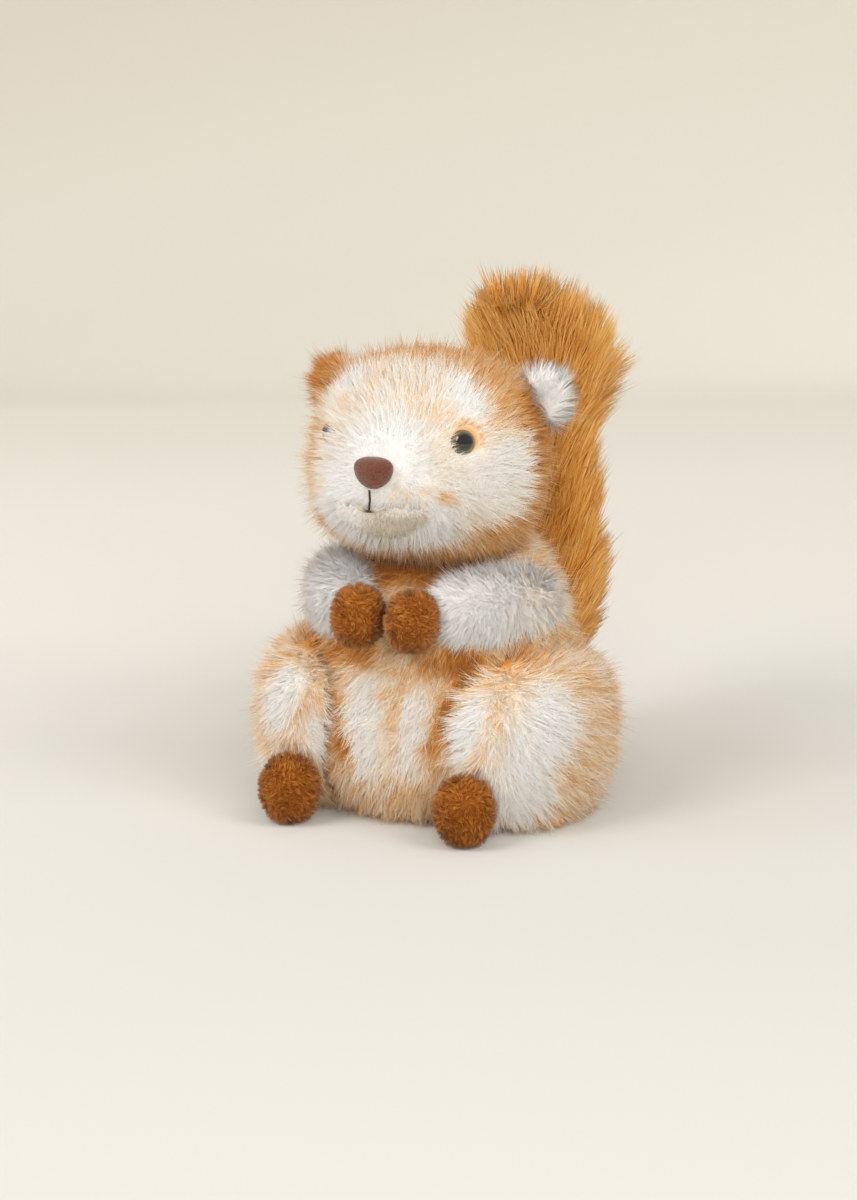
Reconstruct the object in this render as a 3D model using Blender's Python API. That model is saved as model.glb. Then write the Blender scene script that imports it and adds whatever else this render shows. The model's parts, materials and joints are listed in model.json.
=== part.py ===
"""A plush squirrel that sits upright with its forepaws together, in metres, +Z up.

The squirrel faces -Y, its own left is +X, and the origin is on the floor in the middle of its flat underside.
Each sewn piece is a closed soft form whose surface is where the tips of its pile lie. A piece that is sewn to
another one ends at the seam with a small clearance, so that every piece keeps its own closed solid.
"""

import math

import bmesh
import bpy
from mathutils import Matrix, Vector
from mathutils.bvhtree import BVHTree

# Clearance between two pieces that are sewn or seated together
SEAM_GAP = 0.0003

# Torso
TORSO_HALF_WIDTH = 0.051
TORSO_HALF_DEPTH = 0.047
TORSO_HEIGHT = 0.110
HIP_HEIGHT = 0.038
SEAT_DEPTH = 0.005
TORSO_LEAN = 0.012
TORSO_SET_BACK = 0.003
TORSO_SQUARENESS = (2.4, 2.5)

# Head
HEAD_HALF_WIDTH = 0.0440
HEAD_HALF_DEPTH = 0.0390
HEAD_HALF_HEIGHT = 0.0375
HEAD_SQUARENESS = (2.3, 2.6)
HEAD_FORWARD = 0.0075
NECK_SINK = 0.0145

# Swellings of the head: how far each stands out, its azimuth and latitude, and its spread in degrees
MUZZLE_SWELL = 0.0050
MUZZLE_AIM = (0.0, -12.0)
MUZZLE_SPREAD = 32.0
CHEEK_SWELL = 0.0042
CHEEK_AIM = (68.0, -34.0)
CHEEK_SPREAD = 34.0
BROW_SWELL = 0.0010
BROW_AIM = (25.0, 42.0)
BROW_SPREAD = 22.0

# Ears
EAR_HALF_WIDTH = 0.0110
EAR_HALF_THICKNESS = 0.0065
EAR_HALF_HEIGHT = 0.0120
EAR_SQUARENESS = (2.2, 2.0)
EAR_CUP_DEPTH = 0.0035
EAR_CUP_SHARE = 0.62
EAR_AZIMUTH = 104.0
EAR_LATITUDE = 28.0
EAR_RISE = 0.0014
EAR_TILT = 38.0

# Eyes, each a dome on a shank with a washer behind the fabric
EYE_RADIUS = 0.0046
EYE_DOME_HEIGHT = 0.0038
EYE_AZIMUTH = 40.0
EYE_LATITUDE = 14.0
EYE_SINK = 0.0044
EYE_DISH_RADIUS = 0.0078
EYE_DISH_REACH = 2.5
SHANK_RADIUS = 0.0017
SHANK_LENGTH = 0.0110
WASHER_RADIUS = 0.0055
WASHER_THICKNESS = 0.0014
WASHER_SET_BACK = 0.0042

# Nose, chin and mouth
NOSE_HALF_WIDTH = 0.0074
NOSE_HALF_HEIGHT = 0.0058
NOSE_HALF_DEPTH = 0.0052
NOSE_SQUARENESS = (2.6, 2.2)
NOSE_LATITUDE = -2.0
NOSE_STAND_OUT = 0.30
NOSE_TAPER = 0.22
CHIN_HALF_WIDTH = 0.0180
CHIN_HALF_HEIGHT = 0.0062
CHIN_THICKNESS = 0.0014
CHIN_LATITUDE = -26.5
CHIN_RISE = 0.0045
THREAD_RADIUS = 0.00045
MOUTH_LENGTH = 0.0075
MOUTH_HALF_WIDTH = 0.0062
MOUTH_SHIFT = -0.0022
MOUTH_RISE = 0.0020
MOUTH_STEPS = 6

# Arms and forepaws
ARM_RADIUS = 0.0165
ARM_HALF_LENGTH = 0.0270
ARM_SQUARENESS = (2.7, 2.4)
SHOULDER_HALF_SPAN = 0.036
SHOULDER_HEIGHT = 0.0795
SHOULDER_FORWARD = 0.004
PAW_HALF_WIDTH = 0.0106
PAW_HALF_DEPTH = 0.0120
PAW_HALF_HEIGHT = 0.0127
PAW_SQUARENESS = (2.2, 2.2)
PAW_HEIGHT = 0.0775
PAW_FORWARD = 0.0440
WRIST_OVERLAP = 0.0030

# Haunches and feet
LEG_HALF_WIDTH = 0.026
LEG_HALF_LENGTH = 0.043
LEG_HALF_HEIGHT = 0.031
LEG_SQUARENESS = (2.3, 2.6)
LEG_SPAN = 0.042
LEG_HEIGHT = 0.036
LEG_FORWARD = 0.007
LEG_TURN = -10.0
FOOT_HALF_WIDTH = 0.0122
FOOT_HALF_DEPTH = 0.0125
FOOT_HALF_HEIGHT = 0.0138
FOOT_SQUARENESS = (2.2, 2.3)
FOOT_SPAN = 0.035
FOOT_FORWARD = 0.052
FOOT_SEAT_DEPTH = 0.0008

# Tail
TAIL_HEIGHT = 0.184
TAIL_FOOT_HEIGHT = 0.008
TAIL_HALF_WIDTH = 0.0280
TAIL_HALF_DEPTH = 0.0205
TAIL_SET_BACK = 0.069
TAIL_CURL = 0.017
TAIL_LEAN = 0.005
TAIL_SEGMENTS = 20
TAIL_RINGS = 15

# Tail sections from the foot to the tip: share of the height, of the half width, of the half depth and of the curl
TAIL_SECTIONS = (
    (0.00, 0.40, 0.45, -0.55),
    (0.10, 0.78, 0.95, -0.05),
    (0.22, 0.95, 1.25, 0.40),
    (0.34, 1.00, 1.35, 0.62),
    (0.48, 0.98, 1.15, 0.35),
    (0.64, 0.92, 0.98, -0.05),
    (0.76, 0.98, 1.20, 0.75),
    (0.84, 0.95, 1.15, 0.65),
    (0.91, 0.78, 0.92, 0.00),
    (1.00, 0.64, 0.68, -0.40),
)

# Locks of the tail: their form, and how they are spread over its crown and down its back
LOCK_RADIUS = 0.0100
LOCK_LENGTH = 0.0135
LOCK_ROOT_DEPTH = 0.0120
LOCK_POINT = 0.05
CROWN_SHARE = 0.80
CROWN_TILTS = (-42.0, 95.0)
CROWN_ROWS = 8
CROWN_COLUMNS = (-0.72, -0.24, 0.24, 0.72)
CROWN_SPLAY = 0.25
CROWN_UNEVEN = 0.28
BACK_SHARES = (0.16, 0.58)
BACK_ROWS = 5
BACK_COLUMNS = (-1, 0, 1)
BACK_AIM = (0.75, 0.75, 0.55)
BACK_LENGTH_SHARE = 0.60
BACK_UNEVEN = 0.15

# Segments round and rings from pole to pole of each kind of soft form
HEAD_GRID = (34, 22)
TORSO_GRID = (30, 18)
LEG_GRID = (24, 16)
ARM_GRID = (20, 12)
SMALL_GRID = (16, 10)
CUP_GRID = (12, 8)
CHIN_GRID = (24, 8)
DOME_STEPS = 6
LOCK_SIDES = 6
TURNED_SIDES = 14

# Colours in linear RGB
WHITE_PILE = (0.78, 0.74, 0.70)
STRIPED_PILE = (0.76, 0.62, 0.48)
CARAMEL_PILE = (0.42, 0.17, 0.045)
BRUSH_PILE = (0.50, 0.22, 0.055)
FOOT_PILE = (0.28, 0.10, 0.025)
CREAM_PANEL = (0.72, 0.64, 0.52)
NOSE_SUEDE = (0.22, 0.065, 0.040)
THREAD_BROWN = (0.06, 0.022, 0.015)
EYE_DARK = (0.012, 0.008, 0.006)
WASHER_WHITE = (0.70, 0.70, 0.68)


class SoftForm:
    """An egg-like form with its own axes, squareness and swellings, read by azimuth and latitude."""

    def __init__(self, centre, half_width, half_depth, half_height, below=None, **shape):
        self.centre = Vector(centre)
        self.half_width = half_width
        self.half_depth = half_depth
        self.above = half_height
        self.below = half_height if below is None else below
        self.square_above, self.square_below = shape.get("squareness", (2.0, 2.0))
        self.lean = shape.get("lean", 0.0)
        self.taper = shape.get("taper", 0.0)
        self.turn = shape.get("turn", Matrix.Identity(3))
        self.swells = shape.get("swells", ())

    def point(self, azimuth, latitude, grow=0.0):
        """The surface point in radians, azimuth 0 at the front (-Y) and positive to +X."""
        surface = self.on_surface(azimuth, latitude)
        if not grow:
            return surface
        return surface + self.normal(azimuth, latitude) * grow

    def on_surface(self, azimuth, latitude):
        """The surface point with nothing added to it."""
        rise = math.sin(latitude)
        level = math.cos(latitude)
        reach = self.above if rise > 0 else self.below
        power = self.square_above if rise > 0 else self.square_below
        factor = (abs(rise) ** power + abs(level) ** power) ** (-1.0 / power)
        height = rise * factor
        radial = level * factor
        widening = 1.0 + self.taper * height
        local = Vector((
            self.half_width * radial * math.sin(azimuth) * widening,
            -self.half_depth * radial * math.cos(azimuth),
            reach * height,
        ))
        outward = Vector((level * math.sin(azimuth), -level * math.cos(azimuth), rise))
        for swell_azimuth, swell_latitude, amount, spread in self.swells:
            aim = direction(math.radians(swell_azimuth), math.radians(swell_latitude))
            local += outward * amount * math.exp(-((outward.angle(aim) / math.radians(spread)) ** 2))
        local.y += self.lean * height
        return self.centre + self.turn @ local

    def normal(self, azimuth, latitude):
        """The outward direction at a surface point, from its neighbours on either side."""
        step = 1e-3
        latitude = max(-math.pi / 2 + 2 * step, min(math.pi / 2 - 2 * step, latitude))
        along = self.on_surface(azimuth + step, latitude) - self.on_surface(azimuth - step, latitude)
        across = self.on_surface(azimuth, latitude + step) - self.on_surface(azimuth, latitude - step)
        outward = along.cross(across).normalized()
        middle = self.on_surface(azimuth, latitude) - self.centre
        return outward if outward.dot(middle) > 0 else -outward

    def fill(self, shape, segments, rings, grow=0.0):
        """Adds the whole form to a bmesh as a deformed sphere."""
        bmesh.ops.create_uvsphere(shape, u_segments=segments, v_segments=rings, radius=1.0)
        for vertex in shape.verts:
            place = vertex.co.normalized()
            latitude = math.asin(max(-1.0, min(1.0, place.z)))
            azimuth = math.atan2(place.x, -place.y)
            vertex.co = self.point(azimuth, latitude, grow)


def direction(azimuth, latitude):
    """The unit vector at an azimuth and latitude in radians, azimuth 0 at the front (-Y)."""
    return Vector((
        math.cos(latitude) * math.sin(azimuth),
        -math.cos(latitude) * math.cos(azimuth),
        math.sin(latitude),
    ))


def clear_scene():
    """Removes whatever the file starts with."""
    for existing in list(bpy.data.objects):
        bpy.data.objects.remove(existing, do_unlink=True)


def finish(name, colour, roughness, metallic=0.0):
    """A Principled material with one colour."""
    material = bpy.data.materials.new(name)
    material.use_nodes = True
    shader = material.node_tree.nodes["Principled BSDF"]
    shader.inputs["Base Color"].default_value = (*colour, 1.0)
    shader.inputs["Roughness"].default_value = roughness
    shader.inputs["Metallic"].default_value = metallic
    material.diffuse_color = (*colour, 1.0)
    return material


def to_object(name, shape, material=None):
    """Turns a bmesh into an object, shaded smooth."""
    mesh = bpy.data.meshes.new(name)
    shape.to_mesh(mesh)
    shape.free()
    mesh.shade_smooth()
    made = bpy.data.objects.new(name, mesh)
    bpy.context.scene.collection.objects.link(made)
    if material:
        mesh.materials.append(material)
    return made


def helper(name, shape):
    """A cutter that isn't part of the squirrel."""
    made = to_object(name, shape)
    made.hide_render = True
    made.display_type = "WIRE"
    return made


def cut(target, cutter, operation="DIFFERENCE"):
    """Cuts one piece by a helper, or joins the helper to it."""
    modifier = target.modifiers.new(f"{operation} {cutter.name}", "BOOLEAN")
    modifier.operation = operation
    modifier.solver = "EXACT"
    modifier.object = cutter


def seat_on_floor(shape):
    """Cuts a form off at the floor and closes it with one flat face."""
    bmesh.ops.bisect_plane(
        shape,
        geom=shape.verts[:] + shape.edges[:] + shape.faces[:],
        plane_co=(0.0, 0.0, 0.0),
        plane_no=(0.0, 0.0, 1.0),
        clear_inner=True,
    )
    rim = [edge for edge in shape.edges if edge.is_boundary]
    bmesh.ops.holes_fill(shape, edges=rim)


def soft_piece(name, form, segments, rings, material, on_floor=False):
    """One sewn piece from its form, cut off at the floor if it stands there."""
    shape = bmesh.new()
    form.fill(shape, segments, rings)
    if on_floor:
        seat_on_floor(shape)
    return to_object(name, shape, material)


def soft_cutter(name, form, segments, rings):
    """The same form with the seam clearance added all round."""
    shape = bmesh.new()
    form.fill(shape, segments, rings, SEAM_GAP)
    return helper(name, shape)


def turned(shape, profile):
    """Spins a profile of (radius, height) points round Z. Points on the axis close the form."""
    corners = [shape.verts.new((radius, 0.0, height)) for radius, height in profile]
    edges = [shape.edges.new(pair) for pair in zip(corners, corners[1:])]
    if profile[0][0] > 0 and profile[-1][0] > 0:
        edges.append(shape.edges.new((corners[-1], corners[0])))
    bmesh.ops.spin(
        shape, geom=corners + edges, cent=(0, 0, 0), axis=(0, 0, 1), angle=math.tau, steps=TURNED_SIDES,
        use_merge=True,
    )
    bmesh.ops.remove_doubles(shape, verts=shape.verts, dist=1e-6)
    bmesh.ops.recalc_face_normals(shape, faces=shape.faces)


def torso_form():
    """The torso, widest at the hips, with its underside cut off at the floor."""
    return SoftForm(
        (0.0, TORSO_SET_BACK, HIP_HEIGHT),
        TORSO_HALF_WIDTH,
        TORSO_HALF_DEPTH,
        TORSO_HEIGHT - HIP_HEIGHT,
        below=HIP_HEIGHT + SEAT_DEPTH,
        squareness=TORSO_SQUARENESS,
        lean=TORSO_LEAN,
    )


def both_sides(aim, amount, spread):
    """The same swelling on the left and on the right."""
    return tuple((side * aim[0], aim[1], amount, spread) for side in (1, -1))


def head_form():
    """The head, whose underside sinks into the top of the torso."""
    muzzle = ((*MUZZLE_AIM, MUZZLE_SWELL, MUZZLE_SPREAD),)
    cheeks = both_sides(CHEEK_AIM, CHEEK_SWELL, CHEEK_SPREAD)
    brows = both_sides(BROW_AIM, BROW_SWELL, BROW_SPREAD)
    return SoftForm(
        (0.0, -HEAD_FORWARD, TORSO_HEIGHT + HEAD_HALF_HEIGHT - NECK_SINK),
        HEAD_HALF_WIDTH,
        HEAD_HALF_DEPTH,
        HEAD_HALF_HEIGHT,
        squareness=HEAD_SQUARENESS,
        swells=muzzle + cheeks + brows,
    )


def ear_form(head, side):
    """An ear that stands on the head and tilts outwards."""
    root = head.point(side * math.radians(EAR_AZIMUTH), math.radians(EAR_LATITUDE))
    turn = Matrix.Rotation(math.radians(side * EAR_TILT), 3, "Y")
    centre = root + turn @ Vector((0.0, 0.0, EAR_RISE))
    return SoftForm(
        centre, EAR_HALF_WIDTH, EAR_HALF_THICKNESS, EAR_HALF_HEIGHT, turn=turn, squareness=EAR_SQUARENESS
    )


def cup_form(ear):
    """The hollow in the front of an ear."""
    front = ear.centre + ear.turn @ Vector((0.0, -EAR_HALF_THICKNESS, EAR_RISE))
    half_width = EAR_HALF_WIDTH * EAR_CUP_SHARE
    half_height = EAR_HALF_HEIGHT * EAR_CUP_SHARE
    return SoftForm(front, half_width, EAR_CUP_DEPTH, half_height, turn=ear.turn)


def paw_form(side):
    """A forepaw: a ball that meets the other one in the middle of the chest."""
    return SoftForm(
        (side * (PAW_HALF_WIDTH + SEAM_GAP / 2), -PAW_FORWARD, PAW_HEIGHT),
        PAW_HALF_WIDTH,
        PAW_HALF_DEPTH,
        PAW_HALF_HEIGHT,
        squareness=PAW_SQUARENESS,
    )


def arm_form(side):
    """The sleeve from the shoulder towards the paw, with the wrist end inside the paw's back."""
    shoulder = Vector((side * SHOULDER_HALF_SPAN, -SHOULDER_FORWARD, SHOULDER_HEIGHT))
    paw = paw_form(side).centre
    along = (paw - shoulder).normalized()
    wrist = paw - along * (PAW_HALF_DEPTH - WRIST_OVERLAP)
    centre = wrist - along * ARM_HALF_LENGTH
    turn = along.to_track_quat("Z", "Y").to_matrix()
    return SoftForm(
        centre, ARM_RADIUS, ARM_RADIUS, ARM_HALF_LENGTH, turn=turn, squareness=ARM_SQUARENESS
    )


def foot_form(side):
    """A foot: a ball that stands on the floor in front of the haunch."""
    return SoftForm(
        (side * FOOT_SPAN, -FOOT_FORWARD, FOOT_HALF_HEIGHT - FOOT_SEAT_DEPTH),
        FOOT_HALF_WIDTH,
        FOOT_HALF_DEPTH,
        FOOT_HALF_HEIGHT,
        squareness=FOOT_SQUARENESS,
    )


def leg_form(side):
    """A haunch that lies along the torso and opens a little towards the front."""
    return SoftForm(
        (side * LEG_SPAN, -LEG_FORWARD, LEG_HEIGHT),
        LEG_HALF_WIDTH,
        LEG_HALF_LENGTH,
        LEG_HALF_HEIGHT,
        below=LEG_HEIGHT + SEAT_DEPTH,
        squareness=LEG_SQUARENESS,
        turn=Matrix.Rotation(math.radians(side * LEG_TURN), 3, "Z"),
    )


def nose_form(head):
    """The nose: a rounded triangle, wider at its top."""
    seat = head.point(0.0, math.radians(NOSE_LATITUDE))
    centre = seat + Vector((0.0, -NOSE_HALF_DEPTH * NOSE_STAND_OUT, 0.0))
    return SoftForm(
        centre,
        NOSE_HALF_WIDTH,
        NOSE_HALF_DEPTH,
        NOSE_HALF_HEIGHT,
        taper=NOSE_TAPER,
        squareness=NOSE_SQUARENESS,
    )


def chin_piece(head, material):
    """A crescent panel that follows the head's surface: a lens with its flat side on the seam."""
    shape = bmesh.new()
    bmesh.ops.create_uvsphere(shape, u_segments=CHIN_GRID[0], v_segments=CHIN_GRID[1], radius=1.0)
    middle = math.radians(CHIN_LATITUDE)
    for vertex in shape.verts:
        azimuth = vertex.co.x * CHIN_HALF_WIDTH / HEAD_HALF_DEPTH
        rise = vertex.co.y * CHIN_HALF_HEIGHT + vertex.co.x**2 * CHIN_RISE
        latitude = middle + rise / HEAD_HALF_HEIGHT
        vertex.co = head.point(azimuth, latitude, SEAM_GAP + CHIN_THICKNESS * max(vertex.co.z, 0.0))
    bmesh.ops.recalc_face_normals(shape, faces=shape.faces)
    return to_object("chin_patch", shape, material)


def eye_frame(head, side):
    """The place and turn of an eye: +Z looks out of the head, and the origin is on the dome's flat back."""
    azimuth = side * math.radians(EYE_AZIMUTH)
    latitude = math.radians(EYE_LATITUDE)
    outward = head.normal(azimuth, latitude)
    seat = head.point(azimuth, latitude) - outward * EYE_SINK
    return Matrix.Translation(seat) @ outward.to_track_quat("Z", "Y").to_matrix().to_4x4()


def eye_piece(name, frame, material):
    """A moulded dome with its shank, in one piece."""
    profile = [(0.0, -SHANK_LENGTH), (SHANK_RADIUS, -SHANK_LENGTH), (SHANK_RADIUS, 0.0)]
    for step in range(DOME_STEPS):
        angle = math.pi / 2 * step / DOME_STEPS
        profile.append((EYE_RADIUS * math.cos(angle), EYE_DOME_HEIGHT * math.sin(angle)))
    profile.append((0.0, EYE_DOME_HEIGHT))
    shape = bmesh.new()
    turned(shape, profile)
    bmesh.ops.transform(shape, matrix=frame, verts=shape.verts)
    return to_object(name, shape, material)


def washer_piece(name, frame, material):
    """The ring that is pressed on the shank behind the fabric."""
    inner = SHANK_RADIUS + SEAM_GAP
    front = -WASHER_SET_BACK
    back = front - WASHER_THICKNESS
    shape = bmesh.new()
    turned(shape, [(inner, front), (WASHER_RADIUS, front), (WASHER_RADIUS, back), (inner, back)])
    bmesh.ops.transform(shape, matrix=frame, verts=shape.verts)
    return to_object(name, shape, material)


def socket_cutter(name, frame):
    """The dish in the pile round an eye, the hole for its shank and the room for its washer."""
    mouth = EYE_SINK * EYE_DISH_REACH
    seat = EYE_RADIUS + SEAM_GAP
    hole = SHANK_RADIUS + SEAM_GAP
    room = WASHER_RADIUS + SEAM_GAP
    room_front = -WASHER_SET_BACK + SEAM_GAP
    room_back = -WASHER_SET_BACK - WASHER_THICKNESS - SEAM_GAP
    dish = EYE_DISH_RADIUS + (EYE_DISH_RADIUS - seat) * (mouth - EYE_SINK) / EYE_SINK
    profile = [
        (0.0, mouth),
        (dish, mouth),
        (seat, -SEAM_GAP),
        (hole, -SEAM_GAP),
        (hole, room_front),
        (room, room_front),
        (room, room_back),
        (hole, room_back),
        (hole, -SHANK_LENGTH - SEAM_GAP),
        (0.0, -SHANK_LENGTH - SEAM_GAP),
    ]
    shape = bmesh.new()
    turned(shape, profile)
    bmesh.ops.transform(shape, matrix=frame, verts=shape.verts)
    return helper(name, shape)


def surface_tree(*pieces):
    """One search tree over the surfaces of several pieces."""
    shape = bmesh.new()
    for piece in pieces:
        shape.from_mesh(piece.data)
    bmesh.ops.triangulate(shape, faces=shape.faces)
    tree = BVHTree.FromBMesh(shape)
    shape.free()
    return tree


def on_face(tree, across, height):
    """The point just in front of the face where a thread's middle lies."""
    start = Vector((across, -1.0, height))
    hit = tree.ray_cast(start, Vector((0.0, 1.0, 0.0)))[0]
    return hit - Vector((0.0, SEAM_GAP + THREAD_RADIUS, 0.0))


def thread(name, points):
    """A closed round thread along some points."""
    line = bpy.data.curves.new(name, "CURVE")
    line.dimensions = "3D"
    line.bevel_depth = THREAD_RADIUS
    line.bevel_resolution = 1
    line.use_fill_caps = True
    spline = line.splines.new("POLY")
    spline.points.add(len(points) - 1)
    for place, point in zip(spline.points, points):
        place.co = (*point, 1.0)
    guide = bpy.data.objects.new(name + "_guide", line)
    mesh = bpy.data.meshes.new_from_object(guide)
    bpy.data.objects.remove(guide)
    shape = bmesh.new()
    shape.from_mesh(mesh)
    bmesh.ops.remove_doubles(shape, verts=shape.verts, dist=1e-6)
    bmesh.ops.recalc_face_normals(shape, faces=shape.faces)
    return shape


def mouth_piece(tree, nose, material):
    """A line down from the nose, set a little to its right, and a stitch that crosses its end."""
    top = nose.centre.z - NOSE_HALF_HEIGHT - THREAD_RADIUS - SEAM_GAP
    bottom = top - MOUTH_LENGTH
    down = []
    for step in range(MOUTH_STEPS + 1):
        down.append(on_face(tree, MOUTH_SHIFT, top - MOUTH_LENGTH * step / MOUTH_STEPS))
    across = []
    for step in range(-MOUTH_STEPS, MOUTH_STEPS + 1):
        share = step / MOUTH_STEPS
        height = bottom + MOUTH_RISE * share * share
        across.append(on_face(tree, MOUTH_SHIFT + MOUTH_HALF_WIDTH * share, height))
    made = to_object("mouth_stitch", thread("mouth_line", down), material)
    cut(made, helper("mouth_cross", thread("mouth_cross", across)), "UNION")
    return made


def tail_section(share):
    """The tail's centre and half sizes at a share of its height, smooth between its sections."""
    for low, high in zip(TAIL_SECTIONS, TAIL_SECTIONS[1:]):
        if share <= high[0]:
            break
    blend = (share - low[0]) / (high[0] - low[0])
    blend = blend * blend * (3 - 2 * blend)
    width, depth, curl = (low[i] + (high[i] - low[i]) * blend for i in (1, 2, 3))
    height = TAIL_FOOT_HEIGHT + share * (TAIL_HEIGHT - TAIL_FOOT_HEIGHT)
    centre = Vector((TAIL_LEAN, TAIL_SET_BACK + TAIL_CURL * curl, height))
    return centre, TAIL_HALF_WIDTH * width, TAIL_HALF_DEPTH * depth


def tail_body(shape):
    """Rings bridged from the foot of the tail to its tip."""
    loops = []
    for ring in range(TAIL_RINGS + 1):
        centre, half_width, half_depth = tail_section(ring / TAIL_RINGS)
        made = bmesh.ops.create_circle(shape, segments=TAIL_SEGMENTS, radius=1.0)["verts"]
        for vertex in made:
            vertex.co = centre + Vector((vertex.co.x * half_width, vertex.co.y * half_depth, 0.0))
        loops.append(made)
    for low, high in zip(loops, loops[1:]):
        edges = {edge for vertex in low + high for edge in vertex.link_edges if edge.is_boundary or edge.is_wire}
        bmesh.ops.bridge_loops(shape, edges=list(edges))
    rim = [edge for edge in shape.edges if edge.is_boundary]
    bmesh.ops.holes_fill(shape, edges=rim)
    bmesh.ops.recalc_face_normals(shape, faces=shape.faces)


def lock(name, root, tip):
    """One tapered lock of long pile."""
    along = tip - root
    shape = bmesh.new()
    bmesh.ops.create_cone(
        shape,
        cap_ends=True,
        segments=LOCK_SIDES,
        radius1=LOCK_RADIUS,
        radius2=LOCK_RADIUS * LOCK_POINT,
        depth=along.length,
    )
    bmesh.ops.translate(shape, verts=shape.verts, vec=(0.0, 0.0, along.length / 2))
    bmesh.ops.transform(shape, matrix=along.to_track_quat("Z", "Y").to_matrix().to_4x4(), verts=shape.verts)
    bmesh.ops.translate(shape, verts=shape.verts, vec=root)
    return helper(name, shape)


def add_lock(tail, tree, name, inside, aim, length):
    """Joins a lock to the tail where a line from inside it leaves the brush."""
    hit = tree.ray_cast(inside, aim)[0]
    root = hit - aim * LOCK_ROOT_DEPTH
    cut(tail, lock(name, root, hit + aim * length), "UNION")


def between(ends, step, steps):
    """The value at a step between two ends."""
    return ends[0] + (ends[1] - ends[0]) * step / (steps - 1)


def unevenness(row, column, amount):
    """A length factor that changes from lock to lock without a pattern that shows."""
    return 1.0 + amount * math.cos(2.3 * row + 5.7 * column)


def tail_locks(tail):
    """Locks that break the outline of the brush: over its top and curl, and down its back."""
    tree = surface_tree(tail)
    middle, half_width, _ = tail_section(CROWN_SHARE)
    for row in range(CROWN_ROWS):
        tilt = math.radians(between(CROWN_TILTS, row, CROWN_ROWS))
        for place, column in enumerate(CROWN_COLUMNS):
            inside = middle + Vector((column * half_width, 0.0, 0.0))
            aim = Vector((CROWN_SPLAY * column, math.sin(tilt), math.cos(tilt))).normalized()
            length = LOCK_LENGTH * unevenness(row, column, CROWN_UNEVEN)
            add_lock(tail, tree, f"crown_lock_{row}_{place}", inside, aim, length)
    for row in range(BACK_ROWS):
        inside, half_width, _ = tail_section(between(BACK_SHARES, row, BACK_ROWS))
        for place, column in enumerate(BACK_COLUMNS):
            aim = Vector((BACK_AIM[0] * column, BACK_AIM[1], BACK_AIM[2])).normalized()
            length = LOCK_LENGTH * BACK_LENGTH_SHARE * unevenness(row, column, BACK_UNEVEN)
            add_lock(tail, tree, f"back_lock_{row}_{place}", inside, aim, length)


def build():
    """Makes every piece and cuts it along its seams."""
    clear_scene()
    white = finish("white_pile", WHITE_PILE, 0.95)
    head = head_form()
    torso = torso_form()
    nose = nose_form(head)
    head_cutter = soft_cutter("head_cutter", head, *HEAD_GRID)
    torso_cutter = soft_cutter("torso_cutter", torso, *TORSO_GRID)

    torso_piece = soft_piece("torso", torso, *TORSO_GRID, finish("striped_pile", STRIPED_PILE, 0.95), True)
    cut(torso_piece, head_cutter)
    head_piece = soft_piece("head", head, *HEAD_GRID, finish("head_pile", STRIPED_PILE, 0.95))

    nose_piece = soft_piece("nose", nose, *SMALL_GRID, finish("nose_suede", NOSE_SUEDE, 0.85))
    cut(nose_piece, head_cutter)
    chin = chin_piece(head, finish("cream_panel", CREAM_PANEL, 0.9))
    cut(chin, soft_cutter("nose_cutter", nose, *SMALL_GRID))
    mouth_piece(surface_tree(head_piece, chin), nose, finish("brown_thread", THREAD_BROWN, 0.7))

    eye_dark = finish("eye_dark", EYE_DARK, 0.08)
    washer_white = finish("washer_white", WASHER_WHITE, 0.5)
    caramel = finish("caramel_pile", CARAMEL_PILE, 0.95)
    foot_brown = finish("foot_pile", FOOT_PILE, 0.95)
    for label, side in (("left", 1), ("right", -1)):
        frame = eye_frame(head, side)
        cut(head_piece, socket_cutter(f"{label}_socket", frame))
        eye_piece(f"{label}_eye", frame, eye_dark)
        washer_piece(f"{label}_eye_washer", frame, washer_white)

        ear_shape = ear_form(head, side)
        ear = soft_piece(f"{label}_ear", ear_shape, *SMALL_GRID, white)
        cut(ear, head_cutter)
        cut(ear, soft_cutter(f"{label}_ear_cup", cup_form(ear_shape), *CUP_GRID))

        paw = soft_piece(f"{label}_paw", paw_form(side), *SMALL_GRID, caramel)
        cut(paw, torso_cutter)
        paw_cutter = soft_cutter(f"{label}_paw_cutter", paw_form(side), *SMALL_GRID)
        arm = soft_piece(f"{label}_arm", arm_form(side), *ARM_GRID, white)
        arm_cutter = soft_cutter(f"{label}_arm_cutter", arm_form(side), *ARM_GRID)
        for cutter in (torso_cutter, head_cutter, paw_cutter):
            cut(arm, cutter)

        foot = soft_piece(f"{label}_foot", foot_form(side), *SMALL_GRID, foot_brown, True)
        cut(foot, torso_cutter)
        foot_cutter = soft_cutter(f"{label}_foot_cutter", foot_form(side), *SMALL_GRID)
        leg = soft_piece(f"{label}_leg", leg_form(side), *LEG_GRID, white, True)
        for cutter in (torso_cutter, foot_cutter, arm_cutter):
            cut(leg, cutter)

    shape = bmesh.new()
    tail_body(shape)
    tail = to_object("tail", shape, finish("brush_pile", BRUSH_PILE, 0.95))
    tail_locks(tail)
    cut(tail, torso_cutter)
    cut(tail, head_cutter)


build()
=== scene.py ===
"""Looks of a plush squirrel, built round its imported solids.

Each stuffed piece gets a fabric skin in place of its solid and a pile of fine tapered strands that grow from that
skin. The eyes, the nose, the embroidered mouth and the washers get their own finishes.
"""

import json
import logging
import math
from dataclasses import dataclass
from enum import Enum

import bmesh
import bpy
import numpy as np
from mathutils import Matrix, Vector, noise
from mathutils.bvhtree import BVHTree
from mathutils.kdtree import KDTree

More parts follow.
